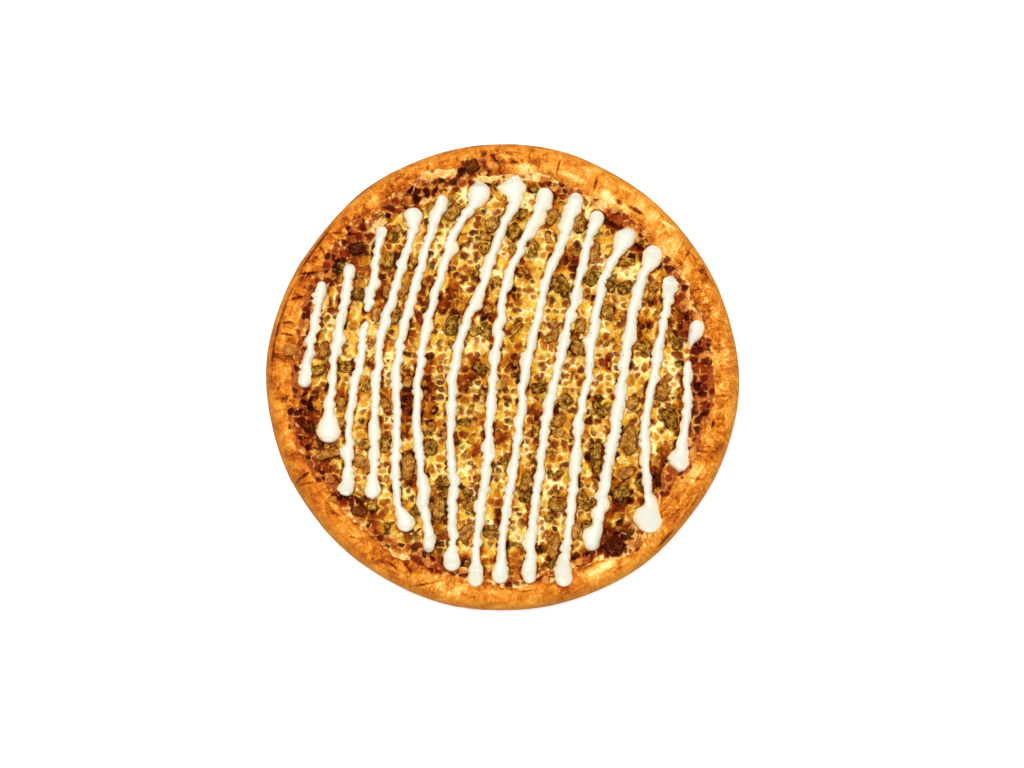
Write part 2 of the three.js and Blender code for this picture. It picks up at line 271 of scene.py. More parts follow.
def pushed_out(rows, distance):
    """Moves each point of a ring-by-ring surface along its own normal: the cross product of the
    steps along the ring and across the rings."""
    along = np.roll(rows, -1, axis=1) - np.roll(rows, 1, axis=1)
    across = np.gradient(rows, axis=0)
    normal = np.cross(along, across)
    normal /= np.linalg.norm(normal, axis=-1, keepdims=True) + 1e-9
    return rows + normal * distance[..., None]


def crust_rows():
    """Rings of the crust's section, from the middle of its underside out to the foot, up the wall
    to the crest, and down the slope to the floor under the toppings."""
    angle = np.linspace(0, 2 * np.pi, CRUST_COLUMNS, endpoint=False)
    edge = crust_reach(angle)
    crest = crest_height(angle)
    rings = [(share * (edge - FOOT_INSET), 0 * angle) for share in np.linspace(0.05, 0.97, 10)]
    for bend in np.linspace(-np.pi / 2, 0, 9, endpoint=False):
        height = WAIST_HEIGHT * (1 + np.sin(bend)) + 0 * angle
        rings.append((edge - FOOT_INSET * (1 - np.cos(bend)), height))
    for bend in np.linspace(0, np.pi / 2, 28, endpoint=False):
        height = WAIST_HEIGHT + (crest - WAIST_HEIGHT) * np.sin(bend)
        rings.append((edge - CREST_INSET * (1 - np.cos(bend)), height))
    for down in np.linspace(0, 1, 26):
        rings.append((edge - CREST_INSET - SLOPE_RUN * down, slope_height(crest, down)))
    rings.append((0.5 * edge, FLOOR_HEIGHT + 0 * angle))
    rows = [[radius * np.cos(angle), radius * np.sin(angle), height] for radius, height in rings]
    return np.array(rows).transpose(0, 2, 1)


class Number:
    """A value that changes over a surface. Sums and products of Numbers add Math nodes."""

    def __init__(self, finish, socket):
        self.finish = finish
        self.socket = socket

    def _math(self, operation, *values):
        return self.finish.number("ShaderNodeMath", {"operation": operation}, dict(enumerate(values)))

    def __add__(self, other):
        return self._math("ADD", self, other)

    def __sub__(self, other):
        return self._math("SUBTRACT", self, other)

    def __rsub__(self, other):
        return self._math("SUBTRACT", other, self)

    def __mul__(self, other):
        return self._math("MULTIPLY", self, other)

    def between(self, low, high):
        """0 below low, 1 above high, with an S-shaped rise between them."""
        settings = {"interpolation_type": "SMOOTHSTEP"}
        inputs = {"Value": self, "From Min": low, "From Max": high}
        return self.finish.number("ShaderNodeMapRange", settings, inputs)

    __radd__ = __add__
    __rmul__ = __mul__


class Finish:
    """A material that is being put together on one Principled shader."""

    def __init__(self, name, **constants):
        self.material = bpy.data.materials.new(name)
        self.material.use_nodes = True
        self.tree = self.material.node_tree
        self.shader = self.tree.nodes["Principled BSDF"]
        self.place = self.node("ShaderNodeTexCoord", {}, {}).outputs["Object"]
        for socket, value in constants.items():
            self.shader.inputs[socket.replace("_", " ")].default_value = value

    def node(self, kind, settings, inputs):
        """Adds a node: its settings first, then its sockets, each a value or a link."""
        node = self.tree.nodes.new(kind)
        for setting, value in settings.items():
            if setting == "stops":
                self._set_stops(node.color_ramp.elements, value)
            else:
                setattr(node, setting, value)
        for socket, value in inputs.items():
            self.feed(node.inputs[socket], value)
        return node

    def number(self, kind, settings, inputs, output=0):
        """Adds a node, and gives the number that comes out of it."""
        return Number(self, self.node(kind, settings, inputs).outputs[output])

    def feed(self, socket, value):
        """Links a value to a socket, or sets the socket to it."""
        if isinstance(value, Number):
            value = value.socket
        if isinstance(value, bpy.types.NodeSocket):
            self.tree.links.new(value, socket)
        else:
            socket.default_value = value

    @staticmethod
    def _set_stops(elements, stops):
        """Gives a ramp its row of stops."""
        while len(elements) < len(stops):
            elements.new(1)
        for element, (place, *colour) in zip(elements, stops):
            element.position = place
            element.color = paint(*colour)

    def look(self, name):
        """A value stored at each point of the piece's mesh."""
        return self.number("ShaderNodeAttribute", {"attribute_name": name}, {}, "Fac")

    def noise(self, size_mm, detail=3, rough=0.55, stretch=(1, 1, 1), place=None):
        """Cloudy noise from 0 to 1 with patches of the given size, drawn out where stretch is small."""
        scale = [1 / (size_mm * MM) * s for s in stretch]
        mapping = self.node("ShaderNodeMapping", {}, {"Vector": place or self.place, "Scale": scale})
        inputs = {"Vector": mapping.outputs[0], "Scale": 1.0, "Detail": detail, "Roughness": rough}
        return self.number("ShaderNodeTexNoise", {}, inputs)

    def wobbled(self, size_mm, shift_mm, place=None):
        """The place on the piece, moved about by noise so that patterns on it look irregular."""
        place = place or self.place
        inputs = {"Vector": place, "Scale": 1 / (size_mm * MM), "Detail": 2.0}
        cloud = self.node("ShaderNodeTexNoise", {}, inputs).outputs["Color"]
        inputs = {0: cloud, 1: (0.5, 0.5, 0.5)}
        offset = self.node("ShaderNodeVectorMath", {"operation": "SUBTRACT"}, inputs).outputs[0]
        inputs = {0: offset, 1: [2 * shift_mm * MM] * 3, 2: place}
        return self.node("ShaderNodeVectorMath", {"operation": "MULTIPLY_ADD"}, inputs).outputs[0]

    def strands(self, size_mm, thickness, place):
        """Thin curly strands, 0 to 1: where cloudy noise passes through its middle value."""
        inputs = {"Vector": place, "Scale": 1 / (size_mm * MM), "Detail": 1.5, "Roughness": 0.5}
        cloud = self.number("ShaderNodeTexNoise", {}, inputs)
        return cloud.between(0.5 - thickness, 0.5) * (1 - cloud.between(0.5, 0.5 + thickness))

    def scattered(self, size_mm, place):
        """Scattered cells seen from above: the distance to the nearest centre, and two random
        numbers for each cell."""
        inputs = {"Vector": place, "Scale": 1 / (size_mm * MM), "Randomness": 0.8}
        node = self.node("ShaderNodeTexVoronoi", {"voronoi_dimensions": "2D"}, inputs)
        random = self.node("ShaderNodeSeparateColor", {}, {0: node.outputs["Color"]}).outputs
        return Number(self, node.outputs["Distance"]), Number(self, random[0]), Number(self, random[1])

    def blisters(self, size_mm, swelling):
        """Soft round blisters, each grown about its own centre by a random amount plus the swelling
        and parted from the next one by a ridge: how much they cover a point, and each one's tone."""
        place = self.wobbled(0.9 * size_mm, 0.16 * size_mm)
        near, growth, kind = self.scattered(size_mm, place)
        settings = {"voronoi_dimensions": "2D", "feature": "DISTANCE_TO_EDGE"}
        inputs = {"Vector": place, "Scale": 1 / (size_mm * MM), "Randomness": 0.8}
        border = self.number("ShaderNodeTexVoronoi", settings, inputs, "Distance")
        reach = growth * 0.3 + swelling
        cover = 1 - near.between(reach - 0.17, reach + 0.17)
        return cover * border.between(0.0, 0.17), kind

    def mix(self, first, second, share):
        """A colour between two colours."""
        inputs = {0: share, 6: first, 7: second}
        return self.node("ShaderNodeMix", {"data_type": "RGBA"}, inputs).outputs[2]

    def ramp(self, value, stops):
        """A colour read by a value from a row of stops: [value, red, green, blue]."""
        return self.node("ShaderNodeValToRGB", {"stops": stops}, {0: value}).outputs[0]

    def bump(self, height, depth_mm):
        """Fine relief of the given depth."""
        inputs = {"Height": height, "Distance": depth_mm * MM, "Strength": 1.0}
        return self.node("ShaderNodeBump", {}, inputs).outputs[0]

    def finished(self, colour, roughness, normal):
        """The material, once what changes over its surface is fed to the shader."""
        self.feed(self.shader.inputs["Base Color"], colour)
        self.feed(self.shader.inputs["Roughness"], roughness)
        self.feed(self.shader.inputs["Normal"], normal)
        return self.material


def paint(red, green, blue):
    """A colour given as it looks on a screen, 0 to 255, in the linear values that shaders take."""
    def linear(value):
        share = value / 255
        return share / 12.92 if share <= 0.04045 else ((share + 0.055) / 1.055) ** 2.4
    return (linear(red), linear(green), linear(blue), 1.0)


def blistered(finish, colour, relief, done, layers, stops):
    """Layers of blisters over a colour and its relief: [size in mm, how swollen, how much darker].
    Each blister reads its colour by how done the place is and by its own tone."""
    fine = finish.noise(1.1, 3, 0.65)
    for size, swelling, darker in layers:
        cover, kind = finish.blisters(size, done * 0.35 + swelling)
        tone = done * 0.9 + (kind - 0.5) * 0.95 + (fine - 0.5) * 0.5 + darker
        colour = finish.mix(colour, finish.ramp(tone, stops), cover * 0.94)
        relief = relief + cover * (kind - 0.5) * 1.6
    return colour, relief


BURNT_STOPS = [
    [0.0, 238, 186, 100], [0.22, 208, 130, 54], [0.42, 166, 76, 26],
    [0.6, 126, 38, 12], [0.8, 88, 14, 5], [1.0, 46, 3, 3],
]


def crust_finish():
    """Baked dough: golden orange where it is thick and brown where the heat caught it, streaked and
    wrinkled along the rim and across it, darker olive tan low on the outer wall, and with brown spots
    underneath. Burnt sauce and cheese stick to it beside the toppings."""
    finish = Finish("baked_dough", Subsurface_Weight=0.04, Subsurface_Scale=0.002,
                    Specular_IOR_Level=0.03)
    finish.shader.inputs["Subsurface Radius"].default_value = (1.0, 0.45, 0.2)
    cloud = finish.noise(8, 3)
    fine = finish.noise(1.4, 4, 0.7)
    rough = finish.look("rough")
    upper = 1 - finish.look("wall")
    rim_place = finish.node("ShaderNodeCombineXYZ", {}, {
        0: finish.look("round_x"), 1: finish.look("round_y"), 2: finish.look("climb")}).outputs[0]
    curly = finish.wobbled(5, 1.7, rim_place)
    along = finish.noise(2.4, 2, 0.55, (0.26, 0.26, 1), curly)
    across = finish.noise(2.4, 2, 0.55, (1, 1, 0.28), curly)
    turned = finish.noise(13, 2).between(0.42, 0.58)
    streaks = along + turned * (across - along)
    dark_strands = finish.strands(9, 0.035, finish.wobbled(5, 2.0))
    dark_strands = dark_strands * finish.noise(16, 2).between(0.46, 0.6)
    pale_strands = finish.strands(5, 0.06, finish.wobbled(4, 1.5)) * (rough * 0.7 + 0.3)
    strokes = (dark_strands * 0.16 - pale_strands * 0.22) * upper
    texture = (streaks - 0.5) * 0.9 + (fine - 0.5) * 0.35
    spots = finish.look("underside") * finish.noise(17, 3, 0.6).between(0.47, 0.66) * 0.36
    tone = finish.look("browned") + (cloud - 0.5) * 0.75 + texture * rough + strokes + spots + 0.02
    colour = finish.ramp(tone, [
        [0.0, 250, 222, 146], [0.16, 242, 190, 98], [0.34, 230, 154, 56], [0.5, 210, 121, 32],
        [0.66, 176, 86, 18], [0.82, 124, 46, 10], [1.0, 66, 16, 4],
    ])
    wall = finish.ramp(tone * 0.8 + 0.1, [
        [0.0, 234, 180, 92], [0.4, 208, 134, 42], [0.7, 176, 100, 26], [1.0, 112, 54, 14],
    ])
    colour = finish.mix(colour, wall, finish.look("wall") * 0.8)
    # Darker olive tan low on the outer wall, stronger in some directions than others.
    colour = finish.mix(colour, paint(150, 112, 52), finish.look("foot") * 0.6)
    burnt = finish.look("burnt")
    between = finish.mix(colour, paint(170, 84, 34), burnt.between(0.3, 1.0))
    layers = [(4.8, 0.22, 0.0)]
    crumbs, crumb_relief = blistered(finish, between, fine * 0.5, burnt * 0.75, layers, BURNT_STOPS)
    colour = finish.mix(colour, crumbs, burnt.between(0.1, 0.4))
    relief = crumb_relief + strokes * 2 + streaks * 0.9 * rough
    return finish.finished(colour, 0.5 + fine * 0.25, finish.bump(relief, 0.7))


# How brown the rim is, how wrinkled, and how dark olive tan low on its wall, at even steps round it.
RIM_BROWNING = round_curve([
    0.51, 0.5, 0.48, 0.52, 0.58, 0.56, 0.56, 0.6, 0.62, 0.55, 0.54, 0.54, 0.56, 0.53, 0.53, 0.53,
])
RIM_ROUGHNESS = round_curve([
    0.9, 1.0, 0.5, 0.3, 0.8, 0.7, 0.7, 0.6, 0.7, 0.6, 0.4, 0.6, 0.5, 0.4, 0.9, 1.0,
])
RIM_FOOT = round_curve([0.6, 0.7, 0.4, 1.0, 1.0, 0.7, 0.8, 0.6])

# Marks on the rim: [direction in degrees, distance in from the edge, length, width, lie in
# degrees from the direction of the rim, how much browner], in mm. Pale ones are shreds of cheese.
RIM_MARKS = [
    [84, 18, 18, 6, 0, -0.3], [110, 15, 6, 5, 0, -0.16], [70, 16, 20, 3, 0, -0.26],
    [59, 17, 12, 6, -10, -0.3], [42, 6, 14, 2, 20, -0.3], [219, 14, 12, 3, 0, -0.3],
    [197, 11, 20, 8, 0, -0.16], [256, 9, 26, 8, 0, -0.14], [296, 12, 28, 5, 0, -0.24],
    [48, 5, 50, 8, 0, -0.08],
    [92, 13, 2, 8, 30, 0.24], [95, 10, 2, 9, -10, 0.2], [87, 14, 5, 1.6, 0, 0.3],
    [51, 14, 13, 2.2, 8, 0.45], [56, 16, 6, 2.2, 0, 0.45], [64, 14, 1.6, 10, 10, 0.3],
    [75, 14, 1.6, 9, 0, 0.3], [33, 8, 1.6, 12, 30, 0.24], [35, 10, 1.6, 10, 30, 0.2],
    [27, 7, 3, 1.6, 20, 0.3], [146, 4, 36, 1.8, 0, 0.34], [168, 4.5, 52, 1.6, 0, 0.34],
    [140, 9, 2, 9, 40, 0.26], [146, 10, 2, 9, -30, 0.26], [153, 9, 2, 9, 30, 0.26],
    [160, 10, 2, 10, 35, 0.26], [167, 10, 2, 9, 10, 0.22], [170, 12, 1.6, 9, 0, 0.3],
    [184, 9, 1.6, 8, 60, 0.2], [187, 12, 1.6, 8, 30, 0.2], [208, 8, 1.8, 12, 10, 0.3],
    [210, 8, 1.6, 12, -20, 0.24], [228, 9, 5, 1.4, 30, 0.3], [241, 9, 10, 1.4, -10, 0.24],
    [244, 13, 10, 1.4, -30, 0.26], [251, 9, 24, 1.4, 32, 0.24], [276, 11, 14, 1.2, 0, 0.26],
    [284, 15, 1.8, 11, 20, 0.3], [307, 10, 4, 2, 20, 0.34], [314, 3, 15, 1.4, 0, 0.4],
    [331, 10, 2, 8, 20, 0.2], [346, 14, 8, 1.4, 0, 0.24], [348, 10, 5, 6, 0, 0.14],
    [128, 0.8, 24, 2, 0, 0.5], [97, 0.8, 16, 1.6, 0, 0.4], [110, 9, 3, 3, 0, 0.2],
]


def rim_marks(angle, inset):
    """How much browner the listed marks make each point of the rim. Each mark is an ellipse, full
    strength in its middle and fading to nothing just past its edge."""
    total = 0 * angle
    for degrees, depth, length, width, lie, strength in RIM_MARKS:
        turn = np.angle(np.exp(1j * (angle - math.radians(degrees))))
        along, inward = turn * (crust_reach(angle) - depth), inset - depth
        cosine, sine = math.cos(math.radians(lie)), math.sin(math.radians(lie))
        first = (along * cosine + inward * sine) / (0.5 * length)
        second = (inward * cosine - along * sine) / (0.6 * width)
        total = total + 1.2 * strength * (1 - smoothstep(0.5, 1.3, np.hypot(first, second)))
    return total


# Arcs where sauce and cheese burnt round the toppings: [first and last direction in degrees, inner
# and outer distance from the middle in mm, strength].
BURNT_ARCS = [
    [-14, 11, 121, 136, 1.0], [10, 18, 119, 131, 0.85], [15, 20, 130, 134, 0.9],
    [17, 26, 117, 129, 0.6], [25, 31, 127, 131, 0.85], [30, 36, 121, 132, 0.5],
    [40, 46, 116, 129, 0.55], [45, 51, 126, 130, 0.8], [50, 58, 120, 131, 0.75],
    [65, 70, 126, 130, 0.7], [69, 79, 124, 131, 0.95], [90, 96, 130, 139, 0.3],
    [94, 101, 131, 141, 0.85], [99, 115, 126, 134, 0.8], [114, 127, 124, 136, 0.85],
    [132, 138, 121, 139, 0.95], [137, 144, 118, 133, 0.85], [142, 153, 126, 137, 0.9],
    [152, 162, 131, 137, 0.9], [158, 184, 129, 135, 0.85], [182, 191, 125, 134, 0.9],
    [189, 201, 125, 140, 0.95], [200, 211, 125, 138, 0.85], [210, 221, 126, 134, 0.9],
    [219, 232, 123, 134, 0.75], [230, 241, 126, 134, 0.75], [240, 252, 124, 134, 0.85],
    [251, 272, 126, 135, 0.95], [263, 268, 120, 134, 0.9], [269, 275, 116, 134, 0.75],
    [274, 285, 116, 137, 0.55], [290, 299, 127, 134, 0.8], [298, 306, 124, 138, 1.0],
    [304, 312, 110, 139, 0.6], [317, 331, 114, 131, 0.8], [329, 346, 125, 133, 0.85],
    [333, 344, 120, 134, 0.85], [161, 171, 124, 132, 0.85],
]
MM_PER_DEGREE = 2.25
BORDER = 1.5


def burnt_arcs(x, y):
    """How strongly the oven caught each point near the listed arcs, 0 to 1, with ragged borders."""
    radius, degrees = np.hypot(x, y), np.degrees(np.arctan2(y, x))
    ripple = 2.0 * flat_noise(x, y, 7, 141)
    burnt = np.zeros(np.shape(x))
    for start, end, inner, outer, strength in BURNT_ARCS:
        turn = np.abs((degrees - 0.5 * (start + end) + 180) % 360 - 180)
        beyond = np.maximum((turn - 0.5 * (end - start)) * MM_PER_DEGREE,
                            np.abs(radius - 0.5 * (inner + outer)) - 0.5 * (outer - inner))
        burnt = np.maximum(burnt, strength * (1 - smoothstep(-BORDER, BORDER, beyond + ripple)))
    return burnt


# Heights in mm: the underside ends at the first, and from the second up cheese and sauce can stick.
# The finish of the rim is laid out round a circle of RIM_RADIUS.
UNDERSIDE_BELOW = 0.6
STICKS_ABOVE = 2
RIM_RADIUS = 145
UNDERSIDE_BROWNING = 0.4
sauce_reach = reach_curve(node_points("tomato_sauce"))


def crust_looks(points, climb):
    """Values at each point of the crust. From 0 to 1: how brown it is, how far it belongs to the
    outer wall, how rough it is, whether it is underneath, how near it is to the foot, and how
    burnt. In metres: its place on a circle as long as the rim, and how far up and over the rim it
    lies."""
    x, y, z = points.T
    angle = np.arctan2(y, x)
    inset = crust_inset(x, y)
    clouds = 0.14 * layered_noise(x, y, z, 22, 31, 3)
    beside = np.hypot(x, y) - sauce_reach(angle)
    pale = 0.2 * smoothstep(0, 0.7, layered_noise(x, y, z, 13, 44, 2)) * smoothstep(5, 12, inset)
    stain = 0.14 * (1 - smoothstep(-2, 4, beside + 4 * layered_noise(x, y, z, 9, 47, 2)))
    above = (z > STICKS_ABOVE) * (stain - pale) + smoothstep(4, 7, z) * rim_marks(angle, inset)
    underside = z < UNDERSIDE_BELOW
    wall = 1 - smoothstep(2, 7, inset + 1.5 * layered_noise(x, y, z, 18, 49, 2))
    rough = 0.35 + 0.65 * RIM_ROUGHNESS(angle) + 0.15 * layered_noise(x, y, z, 26, 53, 2)
    browned = np.clip(RIM_BROWNING(angle) + clouds + above, 0, 1)
    return {
        "browned": np.where(underside, UNDERSIDE_BROWNING, browned),
        "wall": wall * ~underside,
        "rough": rough * ~underside,
        "underside": 1.0 * underside,
        "foot": (1 - smoothstep(9, 15, z)) * ~underside * RIM_FOOT(angle),
        "burnt": burnt_arcs(x, y) * (z > STICKS_ABOVE),
        "climb": climb * MM,
        "round_x": RIM_RADIUS * np.cos(angle) * MM,
        "round_y": RIM_RADIUS * np.sin(angle) * MM,
    }


def climb_of(rows):
    """How far each ring lies from the first one, measured over the surface, for each of the
    skin's points: the mean lengths of the steps between rings, added up."""
    steps = np.linalg.norm(np.diff(rows, axis=0), axis=-1).mean(axis=1)
    climb = np.concatenate([[0], np.cumsum(steps)])
    return np.concatenate([np.repeat(climb, rows.shape[1]), climb[[0, -1]]])


# The dough swells neither where it lies on the table nor on the floor under the toppings.
rows = crust_rows()
x, y, z = np.moveaxis(rows, -1, 0)
on_rim = smoothstep(CREST_INSET + SLOPE_RUN, CREST_INSET + 0.6 * SLOPE_RUN, crust_inset(x, y))
rows = pushed_out(rows, smoothstep(0.2, 3, z) * on_rim * crust_swell(x, y, z))
skin = loft(rows[None], np.array([[0, 0, 0]]), np.array([[0, 0, FLOOR_HEIGHT]]))
make_piece("baked_crust", skin, crust_finish(), ["crust"],
           crust_looks(skin[0], climb_of(rows)))


# ---------------------------------------------------------------------------------------------
# Tomato sauce
# A thin layer spread over the dough. It shows only as a dark, sticky ring round the cheese, where
# the oven has caramelised it together with scraps of cheese.
# ---------------------------------------------------------------------------------------------

# In mm. The sauce's upper face starts SAUCE_SOAK down in the dough, and its lower face lies
# SAUCE_SINK down. Ragged edges are cut round a circle of TOPPINGS_RADIUS.
SAUCE_COLUMNS = 1100
SAUCE_THICKNESS = 1.2
SAUCE_SOAK = 0.25
SAUCE_SINK = 0.9
TOPPINGS_RADIUS = 130


def ragged(angle, salt, size):
    """An uneven edge: noise read round a circle, in millimetres of reach."""
    x, y = TOPPINGS_RADIUS * np.cos(angle), TOPPINGS_RADIUS * np.sin(angle)
    return size * flat_noise(x, y, 12, salt)


def sauce_edge(angle):
    """How far the sauce reaches in each direction."""
    return sauce_reach(angle) + ragged(angle, 101, 2.6)


def sauce_top(x, y):
    """Height of the sauce: an even layer on the crust that thins to nothing at its edge, with
    lumps and round bubbles cooked into it."""
    inside = sauce_edge(np.arctan2(y, x)) - np.hypot(x, y)
    layer = SAUCE_THICKNESS * smoothstep(-0.5, 4, inside)
    lumps = 0.75 * flat_noise(x, y, 6.5, 103)
    near, _, kind = cells(x, y, 0 * x, 4.6, 107)
    bubbles = 0.9 * (1 - smoothstep(0.1, 0.5, near)) * (kind > 0.5)
    return crust_top(x, y) + layer + (lumps + bubbles) * smoothstep(0.5, 4, inside) - SAUCE_SOAK


def sauce_finish():
    """Cooked-down tomato: dark red-brown blisters where it burnt, and scraps of cheese and dough
    with brown spots elsewhere."""
    finish = Finish("caramelised_sauce", Specular_IOR_Level=0.015)
    done = finish.look("done")
    fine = finish.noise(1.2, 4, 0.65)
    scraps = finish.noise(2.6, 3, 0.6)
    colour = finish.ramp(done * 0.9 + (scraps - 0.5) * 1.5 + (fine - 0.5) * 0.8 - 0.06, [
        [0.0, 246, 220, 152], [0.2, 236, 186, 104], [0.4, 210, 138, 60],
        [0.6, 166, 80, 30], [0.8, 114, 36, 12], [1.0, 70, 12, 5],
    ])
    layers = [(4.2, 0.14, 0.0), (5.8, 0.14, 0.06)]
    colour, relief = blistered(finish, colour, fine * 0.6 + scraps, done, layers, BURNT_STOPS)
    return finish.finished(colour, 0.45 + fine * 0.25, finish.bump(relief, 0.7))


def sauce_rows():
    """Rings from the middle of the underside to the edge, and back over the top: close together
    where the sauce shows, wide apart under the cheese."""
    angle = np.linspace(0, 2 * np.pi, SAUCE_COLUMNS, endpoint=False)
    under = np.array([0.3, 0.78, 0.9, 0.97])
    over = np.concatenate([np.linspace(1, 0.84, 34), [0.78, 0.6, 0.3]])
    reach = np.concatenate([under, over])[:, None] * sauce_edge(angle)
    x, y = reach * np.cos(angle), reach * np.sin(angle)
    turn = len(under)
    low = crust_top(x[:turn], y[:turn]) - SAUCE_SINK
    top = sauce_top(x[turn:], y[turn:])
    return np.stack([x, y, np.concatenate([low, top])], axis=-1)


bottom = np.array([[0, 0, FLOOR_HEIGHT - 0.5]])
middle = np.array([[0, 0, FLOOR_HEIGHT + SAUCE_THICKNESS]])
skin = loft(sauce_rows()[None], bottom, middle)
x, y, z = skin[0].T
done = 0.2 + 0.54 * burnt_arcs(x, y) + 0.24 * layered_noise(x, y, z, 9, 109, 3)
make_piece("baked_sauce", skin, sauce_finish(), ["tomato_sauce"], {"done": done})


# ---------------------------------------------------------------------------------------------
# Where the toppings lie
# Chopped beef is strewn over the cheese before baking, the largest pieces where the CAD ones are,
# and white sauce goes on last, in lines. The cheese is darker beside them: beef juice and painted
# shade beside the beef, painted shade beside the lines. So their places in plan come first.
# ---------------------------------------------------------------------------------------------

CRUMBLES = 190

# Smaller pieces of beef: [x, y, length, width, direction of the long side in degrees], in mm.
SMALL_BEEF = np.array([
    [7.5, 92, 8, 7, 30], [12.5, 103, 8, 6, 60], [-46.5, 107, 8, 4, 90], [-21, 105, 5, 4, 0],
    [58, 62.5, 11, 8, 70], [80, 72.5, 9.5, 5.5, 10], [-58.5, 71.5, 9, 3.5, 62], [-118.5, 1.5, 9.5, 7, 20],
    [-81.5, 38.5, 9, 6, 65], [-101, 3.5, 8, 7, 0], [-87.5, -8.5, 10, 5, 70], [-103.5, -20, 10, 5, 80],
    [-104, -33, 7, 5, 60], [-88, -46.5, 7, 6, 0], [-75.5, -45.5, 10, 6.5, 80], [-17.5, 27, 8.5, 6.5, 20],
    [29.5, 22, 6, 5, 0], [-24.5, -32, 6.5, 5, 0], [-46.5, -48.5, 10, 8, 80], [-36.5, -40, 8, 6, 90],
    [37, -31, 9.5, 6, 60], [21.5, -38, 13, 4.5, 88], [35.5, -39, 6.5, 6, 0], [92.5, 15.5, 11, 5.5, 80],
    [83, -19, 8.5, 7, 30], [98, -19, 6, 5, 0], [-87, -60.5, 9, 4.5, 80], [-55.5, -89.5, 8, 6, 60],
    [-83, -86, 6, 6, 0], [-18, -85, 10, 4, 50], [-37.5, -70.5, 8, 5, 0], [-7.5, -103, 8.5, 7.5, 0],
    [15, -80, 7, 7, 0], [-23.5, -103, 10, 7.5, 60], [35.5, -85, 11, 9, 0], [32.5, -110.5, 15, 7, 85],
    [46.5, -101, 12, 6, 80], [79, -64.5, 10, 6, 25], [85.5, -110.5, 6, 4, 40], [60, -54.5, 18, 7, 90],
    [53, -85, 9, 7, 0], [-105, 69.5, 6, 6, 0], [-109, -82, 6, 4.5, 0],
])


def flat_frame(points):
    """A piece as [x, y, direction of its long side, half length, half width, height]: the main axes
    of its vertices in plan."""
    middle = 0.5 * (points.min(0) + points.max(0))
    spread = points[:, :2] - points[:, :2].mean(0)
    _, axes = np.linalg.eigh(spread.T @ spread)
    long_way = axes[:, 1]
    along = spread @ long_way
    across = spread @ np.array([-long_way[1], long_way[0]])
    return [middle[0], middle[1], math.atan2(long_way[1], long_way[0]),
            np.ptp(along) / 2, np.ptp(across) / 2, np.ptp(points[:, 2])]


def triangle_points(name):
    """A CAD node's triangles, as three vertices each, in millimetres."""
    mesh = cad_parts[name].data
    mesh.calc_loop_triangles()
    index = np.array([triangle.vertices[:] for triangle in mesh.loop_triangles])
    return node_points(name)[index]


def edges_along_y(name):
    """The x of the left and the right side of a CAD white line at every millimetre of y. Every two
    vertices of a triangle are an edge, and an edge that crosses a level gives one point."""
    corners = triangle_points(name)
    start = corners.reshape(-1, 3)
    end = np.roll(corners, -1, axis=1).reshape(-1, 3)
    level = np.arange(math.ceil(start[:, 1].min()), math.floor(start[:, 1].max()) + 1.0)
    with np.errstate(divide="ignore", invalid="ignore"):
        share = (level[:, None] - start[None, :, 1]) / (end[:, 1] - start[:, 1])[None]
    crossing = (share >= 0) & (share <= 1)
    x = start[None, :, 0] + np.where(crossing, share, 0) * (end[:, 0] - start[:, 0])[None]
    return level, np.where(crossing, x, np.inf).min(1), np.where(crossing, x, -np.inf).max(1)


line_nodes = sorted(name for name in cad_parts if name.startswith("white_sauce"))
line_edges = [edges_along_y(name) for name in line_nodes]


def line_nearness(x, y):
    """How close each point is to a white line: 1 under it, 0 from 2.2 mm beside it."""
    nearness = np.zeros(np.shape(x))
    for level, left, right_side in line_edges:
        beyond = np.maximum(np.interp(y, level, left) - x, x - np.interp(y, level, right_side))
        beyond = np.maximum(beyond, np.maximum(level[0] - y, y - level[-1]))
        nearness = np.maximum(nearness, 1 - smoothstep(0.4, 2.2, beyond))
    return nearness


beef_nodes = sorted(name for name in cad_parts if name.startswith("beef"))
large_beef = np.array([flat_frame(node_points(name)) for name in beef_nodes])
small_beef = np.stack([
    SMALL_BEEF[:, 0], SMALL_BEEF[:, 1], np.radians(SMALL_BEEF[:, 4]), 0.5 * SMALL_BEEF[:, 2],
    0.5 * SMALL_BEEF[:, 3], 1.2 + 0.33 * SMALL_BEEF[:, 3]], axis=-1)

# Crumbles lie anywhere but under the lines. The square root spreads them evenly over the disc.
beef_random = np.random.default_rng(12)
reach_share = np.sqrt(beef_random.uniform(0, 1, CRUMBLES))
crumble_angle = beef_random.uniform(0, 2 * np.pi, CRUMBLES)
crumble_radius = reach_share * (sauce_reach(crumble_angle) - 4)
half_length = beef_random.uniform(1.6, 4.2, CRUMBLES)
crumbles = np.stack([
    crumble_radius * np.cos(crumble_angle), crumble_radius * np.sin(crumble_angle),
    np.radians(beef_random.normal(75, 45, CRUMBLES)),
    half_length, half_length * beef_random.uniform(0.45, 0.95, CRUMBLES),
    beef_random.uniform(1.6, 3.0, CRUMBLES)], axis=-1)
crumbles = crumbles[line_nearness(crumbles[:, 0], crumbles[:, 1]) < 0.6]
all_beef = np.concatenate([large_beef, small_beef, crumbles])


def beef_nearness(x, y):
    """How close each point is to a piece of beef in plan: 1 under a piece, falling to 0 within
    1.8 mm of its side."""
    nearness = np.zeros(np.shape(x))
    for px, py, turn, length, width, _ in all_beef:
        along = (x - px) * math.cos(turn) + (y - py) * math.sin(turn)
        across = (y - py) * math.cos(turn) - (x - px) * math.sin(turn)
        apart = np.sqrt((along / length) ** 2 + (across / width) ** 2)
        nearness = np.maximum(nearness, 1 - smoothstep(0, 1.8, (apart - 1) * width))
    return nearness


# ---------------------------------------------------------------------------------------------
# Cheese
# Grated cheese melted into one skin over the sauce. It has blistered in round spots that turned
# orange and brown, with paler ridges between them, and has burnt in places.
# ---------------------------------------------------------------------------------------------

